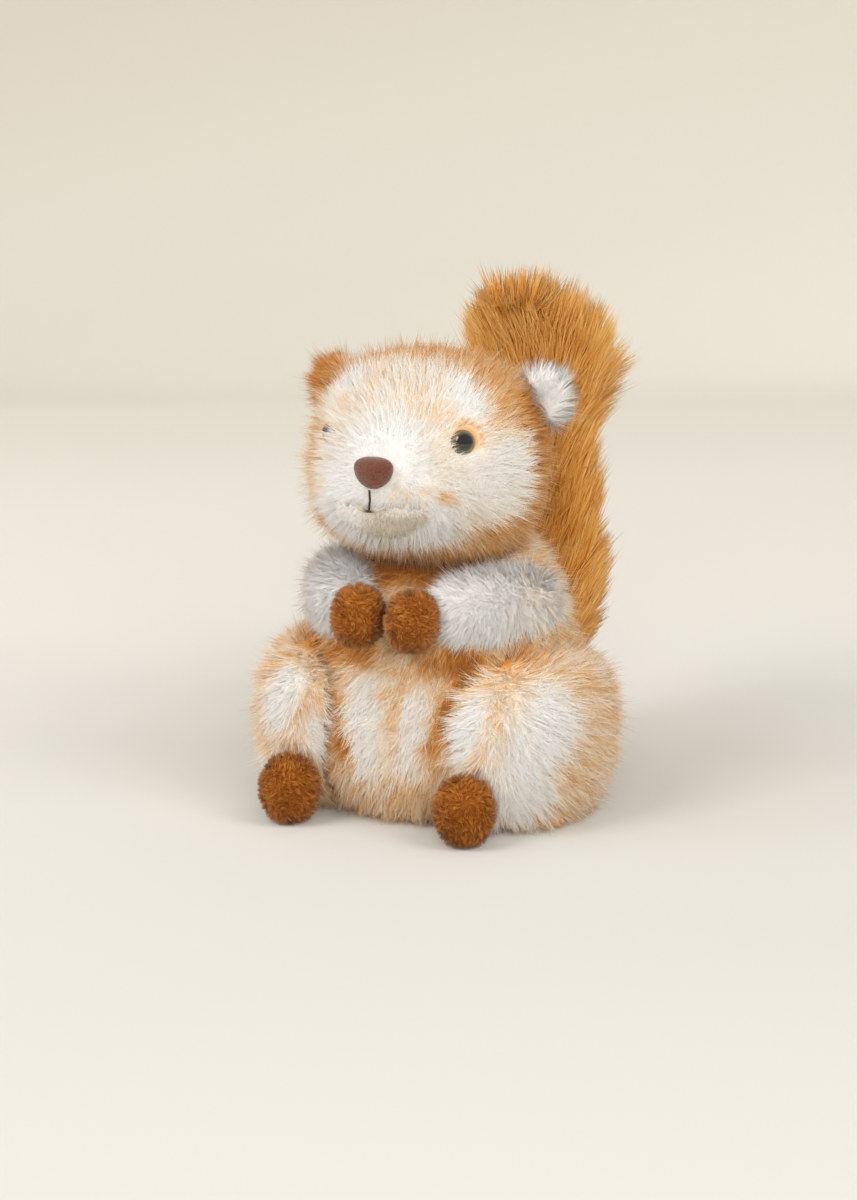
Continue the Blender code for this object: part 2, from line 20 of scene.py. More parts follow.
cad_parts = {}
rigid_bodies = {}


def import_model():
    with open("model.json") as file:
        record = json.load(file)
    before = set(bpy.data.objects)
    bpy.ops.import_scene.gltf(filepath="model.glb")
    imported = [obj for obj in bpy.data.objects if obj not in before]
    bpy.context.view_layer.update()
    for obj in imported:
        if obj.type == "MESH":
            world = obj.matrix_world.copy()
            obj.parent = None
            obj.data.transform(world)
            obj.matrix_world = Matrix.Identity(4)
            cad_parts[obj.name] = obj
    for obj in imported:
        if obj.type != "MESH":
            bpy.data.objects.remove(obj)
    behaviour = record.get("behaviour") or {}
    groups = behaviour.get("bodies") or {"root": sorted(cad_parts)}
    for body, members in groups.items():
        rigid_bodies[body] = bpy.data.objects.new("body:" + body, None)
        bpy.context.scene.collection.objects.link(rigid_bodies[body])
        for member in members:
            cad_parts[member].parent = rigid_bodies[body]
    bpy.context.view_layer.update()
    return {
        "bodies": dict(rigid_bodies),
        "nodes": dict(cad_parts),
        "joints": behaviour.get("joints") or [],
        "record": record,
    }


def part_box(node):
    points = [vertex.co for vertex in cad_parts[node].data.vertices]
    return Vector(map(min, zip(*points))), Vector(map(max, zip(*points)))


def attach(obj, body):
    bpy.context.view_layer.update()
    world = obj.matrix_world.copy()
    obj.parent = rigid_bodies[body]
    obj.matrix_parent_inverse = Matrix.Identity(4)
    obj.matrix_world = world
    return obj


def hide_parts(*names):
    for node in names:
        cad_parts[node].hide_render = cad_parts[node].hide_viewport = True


LOG = logging.getLogger("squirrel")
MM = 0.001
BODY = "root"
BAKE_MAP = "OFBake"
TONE = "tone"
FLOOR_CLEARANCE = 0.2 * MM
MOUTH_LINE = -2.2 * MM
NOISE_SEED = 7

# Camera, set from the photograph's view
VIEW_AZIMUTH = 25.6
VIEW_ELEVATION = 12.06
VIEW_TARGET = (-3.97 * MM, 0.0, 75.49 * MM)
VIEW_DISTANCE = 1.1
LENS = 89.1
SENSOR = 36.0


class Side(Enum):
    """The squirrel's own sides."""

    LEFT = 1
    RIGHT = -1

    @property
    def label(self) -> str:
        """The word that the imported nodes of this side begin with."""
        return self.name.lower()


class Slot(Enum):
    """The record's material slots."""

    STRIPED = "striped_pile"
    WHITE = "white_pile"
    CARAMEL = "caramel_pile"
    FOOT = "foot_pile"
    BRUSH = "brush_pile"
    PANEL = "cream_panel"
    NOSE = "nose_suede"
    THREAD = "brown_thread"
    EYE = "eye_dark"
    WASHER = "washer_white"


def shade(red: int, green: int, blue: int) -> tuple[float, float, float, float]:
    """A display colour as linear RGBA.

    Args:
        red: The red value, 0 to 255.
        green: The green value, 0 to 255.
        blue: The blue value, 0 to 255.

    Returns:
        The same colour in linear light, with full alpha.
    """
    values = []
    for part in (red, green, blue):
        share = part / 255.0
        values.append(share / 12.92 if share <= 0.04045 else ((share + 0.055) / 1.055) ** 2.4)
    return (values[0], values[1], values[2], 1.0)


def unit(rows: np.ndarray) -> np.ndarray:
    """The rows of an array, each scaled to length one."""
    return rows / np.maximum(np.linalg.norm(rows, axis=-1, keepdims=True), 1e-12)


def from_path(points: np.ndarray, start: np.ndarray, end: np.ndarray) -> np.ndarray:
    """The vectors from the nearest places on a straight path to some points.

    Args:
        points: One point in each row.
        start: The path's start.
        end: The path's end.

    Returns:
        One vector for each point.
    """
    along = end - start
    share = np.clip((points - start) @ along / (along @ along), 0.0, 1.0)
    return points - start - share[:, None] * along


def smooth_step(low: float, high: float, values: np.ndarray) -> np.ndarray:
    """A smooth rise from 0 at low to 1 at high."""
    share = np.clip((values - low) / (high - low), 0.0, 1.0)
    return share * share * (3.0 - 2.0 * share)


# Materials


class Nodes:
    """Makes the nodes of one material and links them."""

    def __init__(self, name: str) -> None:
        """Starts a material with its Principled shader.

        Args:
            name: The material's name.
        """
        self.material = bpy.data.materials.new(name)
        self.material.use_nodes = True
        self.tree = self.material.node_tree
        self.shader = self.tree.nodes["Principled BSDF"]

    def add(self, kind: str, **settings: object) -> bpy.types.Node:
        """Adds one node.

        Args:
            kind: The node's type name.
            settings: Properties to set on the node.

        Returns:
            The new node.
        """
        node = self.tree.nodes.new(kind)
        for key, value in settings.items():
            setattr(node, key, value)
        return node

    def link(self, source: bpy.types.NodeSocket, target: bpy.types.NodeSocket) -> None:
        """Links an output to an input."""
        self.tree.links.new(source, target)

    def ramp(self, factor: bpy.types.NodeSocket, stops: tuple) -> bpy.types.NodeSocket:
        """A colour ramp read by a factor.

        Args:
            factor: The output that drives the ramp.
            stops: Pairs of position and linear colour.

        Returns:
            The ramp's colour output.
        """
        node = self.add("ShaderNodeValToRGB")
        elements = node.color_ramp.elements
        while len(elements) < len(stops):
            elements.new(0.5)
        for element, (position, colour) in zip(elements, stops):
            element.position = position
            element.color = colour
        self.link(factor, node.inputs["Fac"])
        return node.outputs["Color"]

    def mix(
        self, factor: bpy.types.NodeSocket, first: object, second: object, blend: str = "MIX"
    ) -> bpy.types.NodeSocket:
        """Mixes two colours.

        Args:
            factor: The output that drives the mix, or a number.
            first: An output or a linear colour.
            second: An output or a linear colour.
            blend: The blend type.

        Returns:
            The mixed colour output.
        """
        node = self.add("ShaderNodeMix", data_type="RGBA", blend_type=blend)
        for socket, value in ((node.inputs[0], factor), (node.inputs[6], first), (node.inputs[7], second)):
            if isinstance(value, bpy.types.NodeSocket):
                self.link(value, socket)
            else:
                socket.default_value = value
        return node.outputs[2]

    def range(self, value: bpy.types.NodeSocket, low: float, high: float, to: tuple) -> bpy.types.NodeSocket:
        """Maps a value from one range to another, clamped.

        Args:
            value: The output to map.
            low: The value that becomes to[0].
            high: The value that becomes to[1].
            to: The two ends of the new range.

        Returns:
            The mapped output.
        """
        node = self.add("ShaderNodeMapRange")
        self.link(value, node.inputs["Value"])
        node.inputs["From Min"].default_value = low
        node.inputs["From Max"].default_value = high
        node.inputs["To Min"].default_value = to[0]
        node.inputs["To Max"].default_value = to[1]
        return node.outputs["Result"]

    @property
    def place(self) -> bpy.types.NodeSocket:
        """The object's own coordinates."""
        return self.add("ShaderNodeTexCoord").outputs["Object"]

    def grain(self, scale: float, detail: float) -> bpy.types.NodeSocket:
        """Noise in the object's own coordinates.

        Args:
            scale: Noise cells per metre.
            detail: The number of octaves.

        Returns:
            The noise value output.
        """
        field = self.add("ShaderNodeTexNoise")
        field.inputs["Scale"].default_value = scale
        field.inputs["Detail"].default_value = detail
        self.link(self.place, field.inputs["Vector"])
        return field.outputs["Fac"]

    def bump(self, height: bpy.types.NodeSocket, distance: float) -> None:
        """Bumps the shader's surface.

        Args:
            height: The output that gives the height.
            distance: The height of a full step in metres.
        """
        node = self.add("ShaderNodeBump")
        node.inputs["Strength"].default_value = 1.0
        node.inputs["Distance"].default_value = distance
        self.link(height, node.inputs["Height"])
        self.link(node.outputs["Normal"], self.shader.inputs["Normal"])

    def surface(
        self, colour: bpy.types.NodeSocket, roughness: float, specular: float = 0.5, sheen: float = 0.0,
        coat: float = 0.0,
    ) -> None:
        """Sets the shader's colour and plain values.

        Args:
            colour: The output that gives the base colour.
            roughness: The roughness of the surface.
            specular: The specular level.
            sheen: The weight of the sheen.
            coat: The weight of the clear coat.
        """
        inputs = self.shader.inputs
        self.link(colour, inputs["Base Color"])
        inputs["Roughness"].default_value = roughness
        inputs["Specular IOR Level"].default_value = specular
        inputs["Sheen Weight"].default_value = sheen
        inputs["Sheen Roughness"].default_value = 0.5
        inputs["Coat Weight"].default_value = coat
        inputs["Coat Roughness"].default_value = 0.03


@dataclass(frozen=True)
class Dye:
    """The colours of one pile from its lightest tone to its darkest, at the root and at the tip of a strand."""

    roots: tuple
    tips: tuple
    turn_low: float = 0.15
    turn_high: float = 0.95

    def stops(self, colours: tuple) -> tuple:
        """The colours spread evenly over the tone's range."""
        last = len(colours) - 1
        return tuple((place / last, shade(*colour)) for place, colour in enumerate(colours))


STRIPED_DYE = Dye(
    roots=((251, 249, 246), (250, 240, 228), (245, 210, 166), (222, 152, 80), (146, 82, 34)),
    tips=((255, 254, 252), (253, 240, 222), (246, 196, 128), (222, 144, 60), (172, 95, 31)),
)
# The brush's roots are much darker than its tips: partly the fibre's own colour and partly painted shade deep in
# the brush.
BRUSH_DYE = Dye(
    roots=((220, 150, 66), (204, 130, 46), (184, 106, 31), (154, 79, 20), (118, 56, 14)),
    tips=((252, 214, 146), (242, 188, 106), (226, 158, 68), (200, 124, 42), (160, 88, 26)),
)
CARAMEL_DYE = Dye(
    roots=((160, 90, 28), (144, 78, 22), (124, 64, 16), (102, 50, 12), (80, 38, 9)),
    tips=((226, 158, 82), (212, 138, 62), (198, 121, 48), (176, 101, 36), (148, 82, 28)),
)
FOOT_DYE = Dye(
    roots=((158, 88, 28), (140, 75, 21), (118, 60, 15), (96, 46, 11), (76, 34, 9)),
    tips=((224, 154, 76), (210, 136, 56), (192, 116, 42), (166, 95, 31), (136, 73, 23)),
)
PANEL_DYE = Dye(
    roots=((240, 232, 220), (224, 212, 193), (206, 191, 167), (190, 174, 149), (172, 155, 130)),
    tips=((252, 248, 241), (238, 229, 213), (222, 209, 187), (206, 191, 167), (188, 171, 145)),
)


@dataclass(frozen=True)
class Finish:
    """The recipe of one material."""

    def paint(self, made: Nodes) -> None:
        """Lays the finish in the material's nodes.

        Args:
            made: The nodes of the new material.
        """
        raise NotImplementedError

    def build(self, name: str) -> bpy.types.Material:
        """Makes the material.

        Args:
            name: The material's name.

        Returns:
            The finished material.
        """
        made = Nodes(name)
        self.paint(made)
        return made.material


@dataclass(frozen=True)
class PileFinish(Finish):
    """Dyed pile fibre. Its tone lies across the strand's map and its length along it."""

    dye: Dye
    sheen: float = 0.12

    def paint(self, made: Nodes) -> None:
        """Lays the finish in the material's nodes."""
        place = made.add("ShaderNodeUVMap", uv_map=BAKE_MAP)
        split = made.add("ShaderNodeSeparateXYZ")
        made.link(place.outputs["UV"], split.inputs["Vector"])
        tone, along = split.outputs["X"], split.outputs["Y"]
        root = made.ramp(tone, self.dye.stops(self.dye.roots))
        tip = made.ramp(tone, self.dye.stops(self.dye.tips))
        turn = made.range(along, self.dye.turn_low, self.dye.turn_high, (0.0, 1.0))
        colour = made.mix(turn, root, tip)
        made.surface(colour, roughness=0.75, specular=0.15, sheen=self.sheen)


@dataclass(frozen=True)
class SkinFinish(Finish):
    """The knitted ground of a pile fabric, with the pile's own pattern of tones in it, darkened by painted shade
    from the pile over it.
    """

    dye: Dye
    # The next two fields scale the ground's colour down, a little warmer than grey: painted shade of the pile over
    # the ground.
    depth: float = 0.80
    shade_warmth: tuple = (1.0, 0.97, 0.94)
    bump: float = 0.35 * MM
    grain: float = 900.0

    def paint(self, made: Nodes) -> None:
        """Lays the finish in the material's nodes."""
        tone = made.add("ShaderNodeAttribute", attribute_name=TONE).outputs["Fac"]
        root = made.ramp(tone, self.dye.stops(self.dye.roots))
        tip = made.ramp(tone, self.dye.stops(self.dye.tips))
        field = made.grain(self.grain, 4.0)
        colour = made.mix(made.range(field, 0.3, 0.7, (0.0, 0.5)), root, tip)
        # Painted shade: the ground's colour times a warm factor below one, for the shade under the pile.
        painted_shade = (*(self.depth * part for part in self.shade_warmth), 1.0)
        made.bump(field, self.bump)
        made.surface(made.mix(1.0, colour, painted_shade, "MULTIPLY"), roughness=0.9, specular=0.1, sheen=0.1)


@dataclass(frozen=True)
class SuedeFinish(Finish):
    """Brushed suede with a short nap and slightly worn, lighter patches."""

    low: tuple = (74, 40, 30)
    high: tuple = (122, 74, 57)
    nap: float = 1700.0
    patches: float = 260.0
    bump: float = 0.5 * MM

    def paint(self, made: Nodes) -> None:
        """Lays the finish in the material's nodes."""
        nap = made.grain(self.nap, 6.0)
        patches = made.grain(self.patches, 2.0)
        colour = made.ramp(nap, ((0.3, shade(*self.low)), (0.7, shade(*self.high))))
        worn = made.mix(made.range(patches, 0.35, 0.7, (0.0, 0.5)), colour, shade(*self.high))
        made.bump(nap, self.bump)
        made.surface(worn, roughness=0.95, specular=0.1, sheen=0.35)


@dataclass(frozen=True)
class ThreadFinish(Finish):
    """Twisted embroidery thread, dark in the line under the nose and pale to both sides of it."""

    low: tuple = (44, 26, 22)
    high: tuple = (84, 54, 44)
    pale: tuple = (196, 178, 160)
    line: float = MOUTH_LINE
    fade: tuple = (0.7 * MM, 3.2 * MM)
    twist: float = 700.0
    bump: float = 0.1 * MM

    def paint(self, made: Nodes) -> None:
        """Lays the finish in the material's nodes."""
        place = made.place
        wave = made.add("ShaderNodeTexWave", wave_type="BANDS", bands_direction="DIAGONAL")
        wave.inputs["Scale"].default_value = self.twist
        wave.inputs["Distortion"].default_value = 1.5
        made.link(place, wave.inputs["Vector"])
        ply = wave.outputs["Fac"]
        colour = made.ramp(ply, ((0.2, shade(*self.low)), (0.9, shade(*self.high))))
        across = made.add("ShaderNodeSeparateXYZ")
        made.link(place, across.inputs["Vector"])
        right = made.range(across.outputs["X"], self.line - self.fade[1], self.line - self.fade[0], (1.0, 0.0))
        left = made.range(across.outputs["X"], self.line + self.fade[0], self.line + self.fade[1], (0.0, 1.0))
        faded = made.mix(left, made.mix(right, colour, shade(*self.pale)), shade(*self.pale))
        made.bump(ply, self.bump)
        made.surface(faded, roughness=0.7, specular=0.3, sheen=0.1)


@dataclass(frozen=True)
class EyeFinish(Finish):
    """A moulded eye: a black pupil in a dark iris with an amber rim, under a clear coat."""

    rings: tuple = (
        (0.0, (6, 5, 5)),
        (0.50, (9, 8, 7)),
        (0.62, (58, 48, 34)),
        (0.84, (116, 98, 70)),
        (1.0, (34, 27, 18)),
    )
    fleck: tuple = (20, 14, 10)
    grain: float = 1800.0

    def paint(self, made: Nodes) -> None:
        """Lays the finish in the material's nodes."""
        ring = made.add("ShaderNodeAttribute", attribute_name=TONE).outputs["Fac"]
        colour = made.ramp(ring, tuple((spot, shade(*band)) for spot, band in self.rings))
        field = made.grain(self.grain, 2.0)
        flecked = made.mix(made.range(field, 0.4, 0.7, (0.0, 0.25)), colour, shade(*self.fleck))
        made.surface(flecked, roughness=0.06, specular=0.5, coat=1.0)


@dataclass(frozen=True)
class MouldedFinish(Finish):
    """Plain moulded plastic with a faint uneven gloss."""

    colour: tuple = (224, 224, 220)
    darker: float = 0.92
    grain: float = 700.0
    bump: float = 0.03 * MM

    def paint(self, made: Nodes) -> None:
        """Lays the finish in the material's nodes."""
        field = made.grain(self.grain, 2.0)
        darker = tuple(int(part * self.darker) for part in self.colour)
        colour = made.ramp(field, ((0.3, shade(*darker)), (0.7, shade(*self.colour))))
        made.bump(field, self.bump)
        made.surface(colour, roughness=0.45, specular=0.5)


@dataclass(frozen=True)
class PaperFinish(Finish):
    """The seamless pale paper, painted in soft steps of light and shade from the floor's front edge to the wall's
    top left: brightest in the middle, with painted shade towards both ends.
    """

    # Painted light and shade on the paper: colours from the floor's front edge to the wall's top left.
    painted_light_bands: tuple = (
        (0.00, (219, 217, 210)),
        (0.14, (224, 222, 216)),
        (0.29, (236, 233, 226)),
        (0.45, (240, 237, 229)),
        (0.66, (238, 234, 224)),
        (0.80, (222, 217, 206)),
        (0.92, (213, 208, 196)),
        (1.00, (207, 200, 188)),
    )
    start: float = -0.2
    reach: float = 1.9
    # Tilts the painted shade towards the wall's left.
    turn: float = 0.3

    def paint(self, made: Nodes) -> None:
        """Lays the finish in the material's nodes."""
        around = math.radians(VIEW_AZIMUTH)
        away = Vector((-math.sin(around), math.cos(around), 1.0))
        left = Vector((-math.cos(around), -math.sin(around), 0.0))
        along = made.add("ShaderNodeVectorMath", operation="DOT_PRODUCT")
        along.inputs[1].default_value = away + left * self.turn
        made.link(made.place, along.inputs[0])
        share = made.range(along.outputs["Value"], self.start, self.start + self.reach, (0.0, 1.0))
        colour = made.ramp(share, tuple((spot, shade(*band)) for spot, band in self.painted_light_bands))
        made.surface(colour, roughness=1.0, specular=0.0)


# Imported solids


class Solid:
    """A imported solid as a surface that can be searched."""

    def __init__(self, node: str) -> None:
        """Reads the node's mesh.

        Args:
            node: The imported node's name.
        """
        self.node = node
        shape = self.shape()
        self.tree = BVHTree.FromBMesh(shape)
        shape.free()
        low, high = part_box(node)
        self.low = np.array(low)
        self.high = np.array(high)

    def shape(self) -> bmesh.types.BMesh:
        """A copy of the node's mesh with its loose triangles merged."""
        shape = bmesh.new()
        shape.from_mesh(bpy.data.objects[self.node].data)
        bmesh.ops.remove_doubles(shape, verts=shape.verts, dist=1e-6)
        return shape

    def corners(self) -> np.ndarray:
        """The corners of the merged mesh, one in each row."""
        shape = self.shape()
        found = np.array([vertex.co for vertex in shape.verts])
        shape.free()
        return found

    @property
    def centre(self) -> np.ndarray:
        """The middle of the solid's box."""
        return (self.low + self.high) / 2

    def near(self, points: np.ndarray, margin: float) -> np.ndarray:
        """Which points lie in the solid's box, grown by a margin."""
        return np.all((points > self.low - margin) & (points < self.high + margin), axis=1)

    def inside(self, points: np.ndarray) -> np.ndarray:
        """Which points lie inside the solid.

        Args:
            points: One point in each row.

        Returns:
            One truth value for each point.
        """
        found = np.zeros(len(points), bool)
        for index in np.flatnonzero(self.near(points, 0.0)):
            point = Vector(points[index])
            place, normal, _, _ = self.tree.find_nearest(point)
            found[index] = (point - place).dot(normal) < 0
        return found

    def distance(self, points: np.ndarray, reach: float) -> np.ndarray:
        """How far points lie from the solid's surface, up to a reach.

        Args:
            points: One point in each row.
            reach: The largest distance that matters.

        Returns:
            One distance for each point, never more than the reach.
        """
        found = np.full(len(points), reach)
        for index in np.flatnonzero(self.near(points, reach)):
            hit = self.tree.find_nearest(Vector(points[index]), reach)
            if hit[0] is not None:
                found[index] = hit[3]
        return found


class Solids:
    """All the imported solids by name."""

    def __init__(self, nodes: dict) -> None:
        """Reads every node.

        Args:
            nodes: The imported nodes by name.
        """
        self.by_name = {name: Solid(name) for name in sorted(nodes)}

    def __getitem__(self, name: str) -> Solid:
        """The solid of one node."""
        return self.by_name[name]

    def covered(self, points: np.ndarray, own: str) -> np.ndarray:
        """Which points lie inside a solid other than their own.

        Args:
            points: One point in each row.
            own: The node that the points belong to.

        Returns:
            One truth value for each point.
        """
        found = np.zeros(len(points), bool)
        for name, solid in self.by_name.items():
            if name != own:
                found |= solid.inside(points)
        return found

    def distance(self, points: np.ndarray, names: tuple, reach: float) -> np.ndarray:
        """The distance to the nearest of some solids, up to a reach."""
        found = np.full(len(points), reach)
        for name in names:
            found = np.minimum(found, self[name].distance(points, reach))
        return found


# Meshes


def to_scene(name: str, data: bpy.types.ID) -> bpy.types.Object:
    """A new object of some data, linked to the scene."""
    made = bpy.data.objects.new(name, data)
    bpy.context.scene.collection.objects.link(made)
    return made


def to_object(name: str, shape: bmesh.types.BMesh, material: bpy.types.Material) -> bpy.types.Object:
    """Turns a bmesh into a smooth object and frees it.

    Args:
        name: The object's name.
        shape: The finished bmesh.
        material: The object's material.

    Returns:
        The new object, linked to the scene.
    """
    mesh = bpy.data.meshes.new(name)
    shape.to_mesh(mesh)
    shape.free()
    mesh.shade_smooth()
    mesh.materials.append(material)
    return to_scene(name, mesh)


def settle_modifiers(made: bpy.types.Object) -> None:
    """Applies every modifier of an object to its mesh."""
    graph = bpy.context.evaluated_depsgraph_get()
    graph.update()
    mesh = bpy.data.meshes.new_from_object(made.evaluated_get(graph))
    made.modifiers.clear()
    old = made.data
    made.data = mesh
    bpy.data.meshes.remove(old)


def even_grid(made: bpy.types.Object, voxel: float) -> None:
    """Remeshes an object on an even grid of a given spacing."""
    remesh = made.modifiers.new("even grid", "REMESH")
    remesh.mode = "VOXEL"
    remesh.voxel_size = voxel
    settle_modifiers(made)


def subdivide(made: bpy.types.Object) -> None:
    """Subdivides an object once."""
    finer = made.modifiers.new("finer", "SUBSURF")
    finer.levels = 1
    finer.render_levels = 1
    settle_modifiers(made)


def points_of(mesh: bpy.types.Mesh, kind: str = "co") -> np.ndarray:
    """The places or normals of a mesh's vertices, one in each row."""
    values = np.zeros(len(mesh.vertices) * 3, np.float32)
    if kind == "co":
        mesh.vertices.foreach_get("co", values)
    else:
        mesh.vertex_normals.foreach_get("vector", values)
    return values.reshape(-1, 3).astype(float)


def place_points(mesh: bpy.types.Mesh, places: np.ndarray) -> None:
    """Moves a mesh's vertices to new places."""
    mesh.vertices.foreach_set("co", places.astype(np.float32).ravel())
    mesh.update()


def smooth_mesh(mesh: bpy.types.Mesh, rounds: int) -> None:
    """Evens out a mesh with a few rounds of smoothing."""
    shape = bmesh.new()
    shape.from_mesh(mesh)
    for _ in range(rounds):
        bmesh.ops.smooth_vert(
            shape, verts=shape.verts, factor=0.5, use_axis_x=True, use_axis_y=True, use_axis_z=True
        )
    shape.to_mesh(mesh)
    shape.free()
    mesh.update()


def write_tone(mesh: bpy.types.Mesh, tones: np.ndarray) -> None:
    """Keeps one tone for each vertex in the mesh."""
    attribute = mesh.attributes.new(TONE, "FLOAT", "POINT")
    attribute.data.foreach_set("value", tones.astype(np.float32))


def seat(piece: bpy.types.Object, slot: Slot, *nodes: str) -> bpy.types.Object:
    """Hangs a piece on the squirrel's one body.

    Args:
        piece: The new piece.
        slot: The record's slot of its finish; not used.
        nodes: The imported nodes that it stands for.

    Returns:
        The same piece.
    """
    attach(piece, BODY)
    if nodes:
        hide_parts(*nodes)
    LOG.info("%s: %d faces", piece.name, len(piece.data.polygons))
    return piece


# Pattern of the pile


@dataclass(frozen=True)
class Mark:
    """A stroke of one tone in the pile, along a path in millimetres."""

    tone: float
    reach: float
    path: tuple
    mirrored: bool = True

    def share(self, places: np.ndarray) -> np.ndarray:
        """How much of the mark there is at each place.

        Args:
            places: One place in millimetres in each row.

        Returns:
            One share for each place, from 0 to 1.
        """
        where = places.copy()
        if self.mirrored:
            where[:, 0] = np.abs(where[:, 0])
        line = np.array(self.path, float)
        nearest = np.full(len(where), np.inf)
        for start, end in zip(line, line[1:]):
            nearest = np.minimum(nearest, np.linalg.norm(from_path(where, start, end), axis=1))
        return 1.0 - smooth_step(0.45 * self.reach, 1.35 * self.reach, nearest)


@dataclass(frozen=True)
class Pattern:
    """The tones of one piece: a ground and the marks laid over it in order."""

    ground: float
    marks: tuple = ()
    ragged: float = 2.2

    def tones(self, places: np.ndarray) -> np.ndarray:
        """The tone at each place.

        Args:
            places: One place in metres in each row.

        Returns:
            One tone from 0 to 1 for each place.
        """
        where = places / MM
        stir = np.array([noise.noise_vector(Vector(place) / 7.0) for place in where])
        where = where + stir * self.ragged
        tones = np.full(len(where), self.ground)
        for mark in self.marks:
            share = mark.share(where)
            tones += (mark.tone - tones) * share
        return tones


# Strands


class Strand(Enum):
    """The build of one strand: the places of its levels along it and its width at each."""

    SPIKE = ((0.0, 1.0), (1.0, 0.0))
    SWEPT = ((0.0, 0.42, 1.0), (0.0, 1.0, 0.0))

    @property
    def places(self) -> np.ndarray:
        """Where each level lies, from 0 at the root to 1 at the tip."""
        return np.array(self.value[0])

    @property
    def widths(self) -> np.ndarray:
        """The share of the full thickness at each level."""
        return np.array(self.value[1])


class StrandTemplate:
    """One strand as a small closed form with its levels from root to tip."""

    SIDES = 3

    def __init__(self, strand: Strand) -> None:
        """Makes the form: a spike from a cone, or a swept strand from a sphere's rings.

        Args:
            strand: The build of the strand.
        """
        shape = bmesh.new()
        steps = len(strand.places) - 1
        if strand is Strand.SPIKE:
            bmesh.ops.create_cone(shape, cap_ends=True, segments=self.SIDES, radius1=1.0, radius2=0.0, depth=2.0)
        else:
            bmesh.ops.create_uvsphere(shape, u_segments=self.SIDES, v_segments=steps, radius=1.0)
        bmesh.ops.remove_doubles(shape, verts=shape.verts, dist=1e-6)
        shape.verts.ensure_lookup_table()
        places = np.array([vertex.co for vertex in shape.verts])
        across = np.linalg.norm(places[:, :2], axis=1)
        if strand is Strand.SPIKE:
            share = (places[:, 2] > 0).astype(float)
        else:
            share = 1.0 - np.arctan2(across, places[:, 2]) / math.pi
        self.level = np.rint(share * steps).astype(int)
        ring = across > 1e-6
        self.side = np.where(ring[:, None], places[:, :2] / np.maximum(across, 1e-9)[:, None], 0.0)
        self.faces = [[vertex.index for vertex in face.verts] for face in shape.faces]
        shape.free()


@dataclass(frozen=True)
class Pile:
    """How one kind of pile grows from its skin. Lengths are in metres and leans in degrees from upright."""

    strands: int
    length: float
    thickness: float
    lean: float
    root_lean: float = 20.0
    strand: Strand = Strand.SPIKE
    tuft: int = 14
    draw: float = 0.25
    lock: int = 0
    lock_draw: float = 0.0
    uneven: float = 0.25
    tuft_uneven: float = 0.15
    wander: float = 0.35
    stray: float = 0.25
    sink: float = 0.8 * MM
    softness: float = 0.95
    streak: float = 0.42
    wisps: float = 0.08
    wisp_length: float = 1.35
    wisp_lean: float = 0.55


MAP_HALF_WIDTH = 0.006
MAP_MARGIN = 0.02


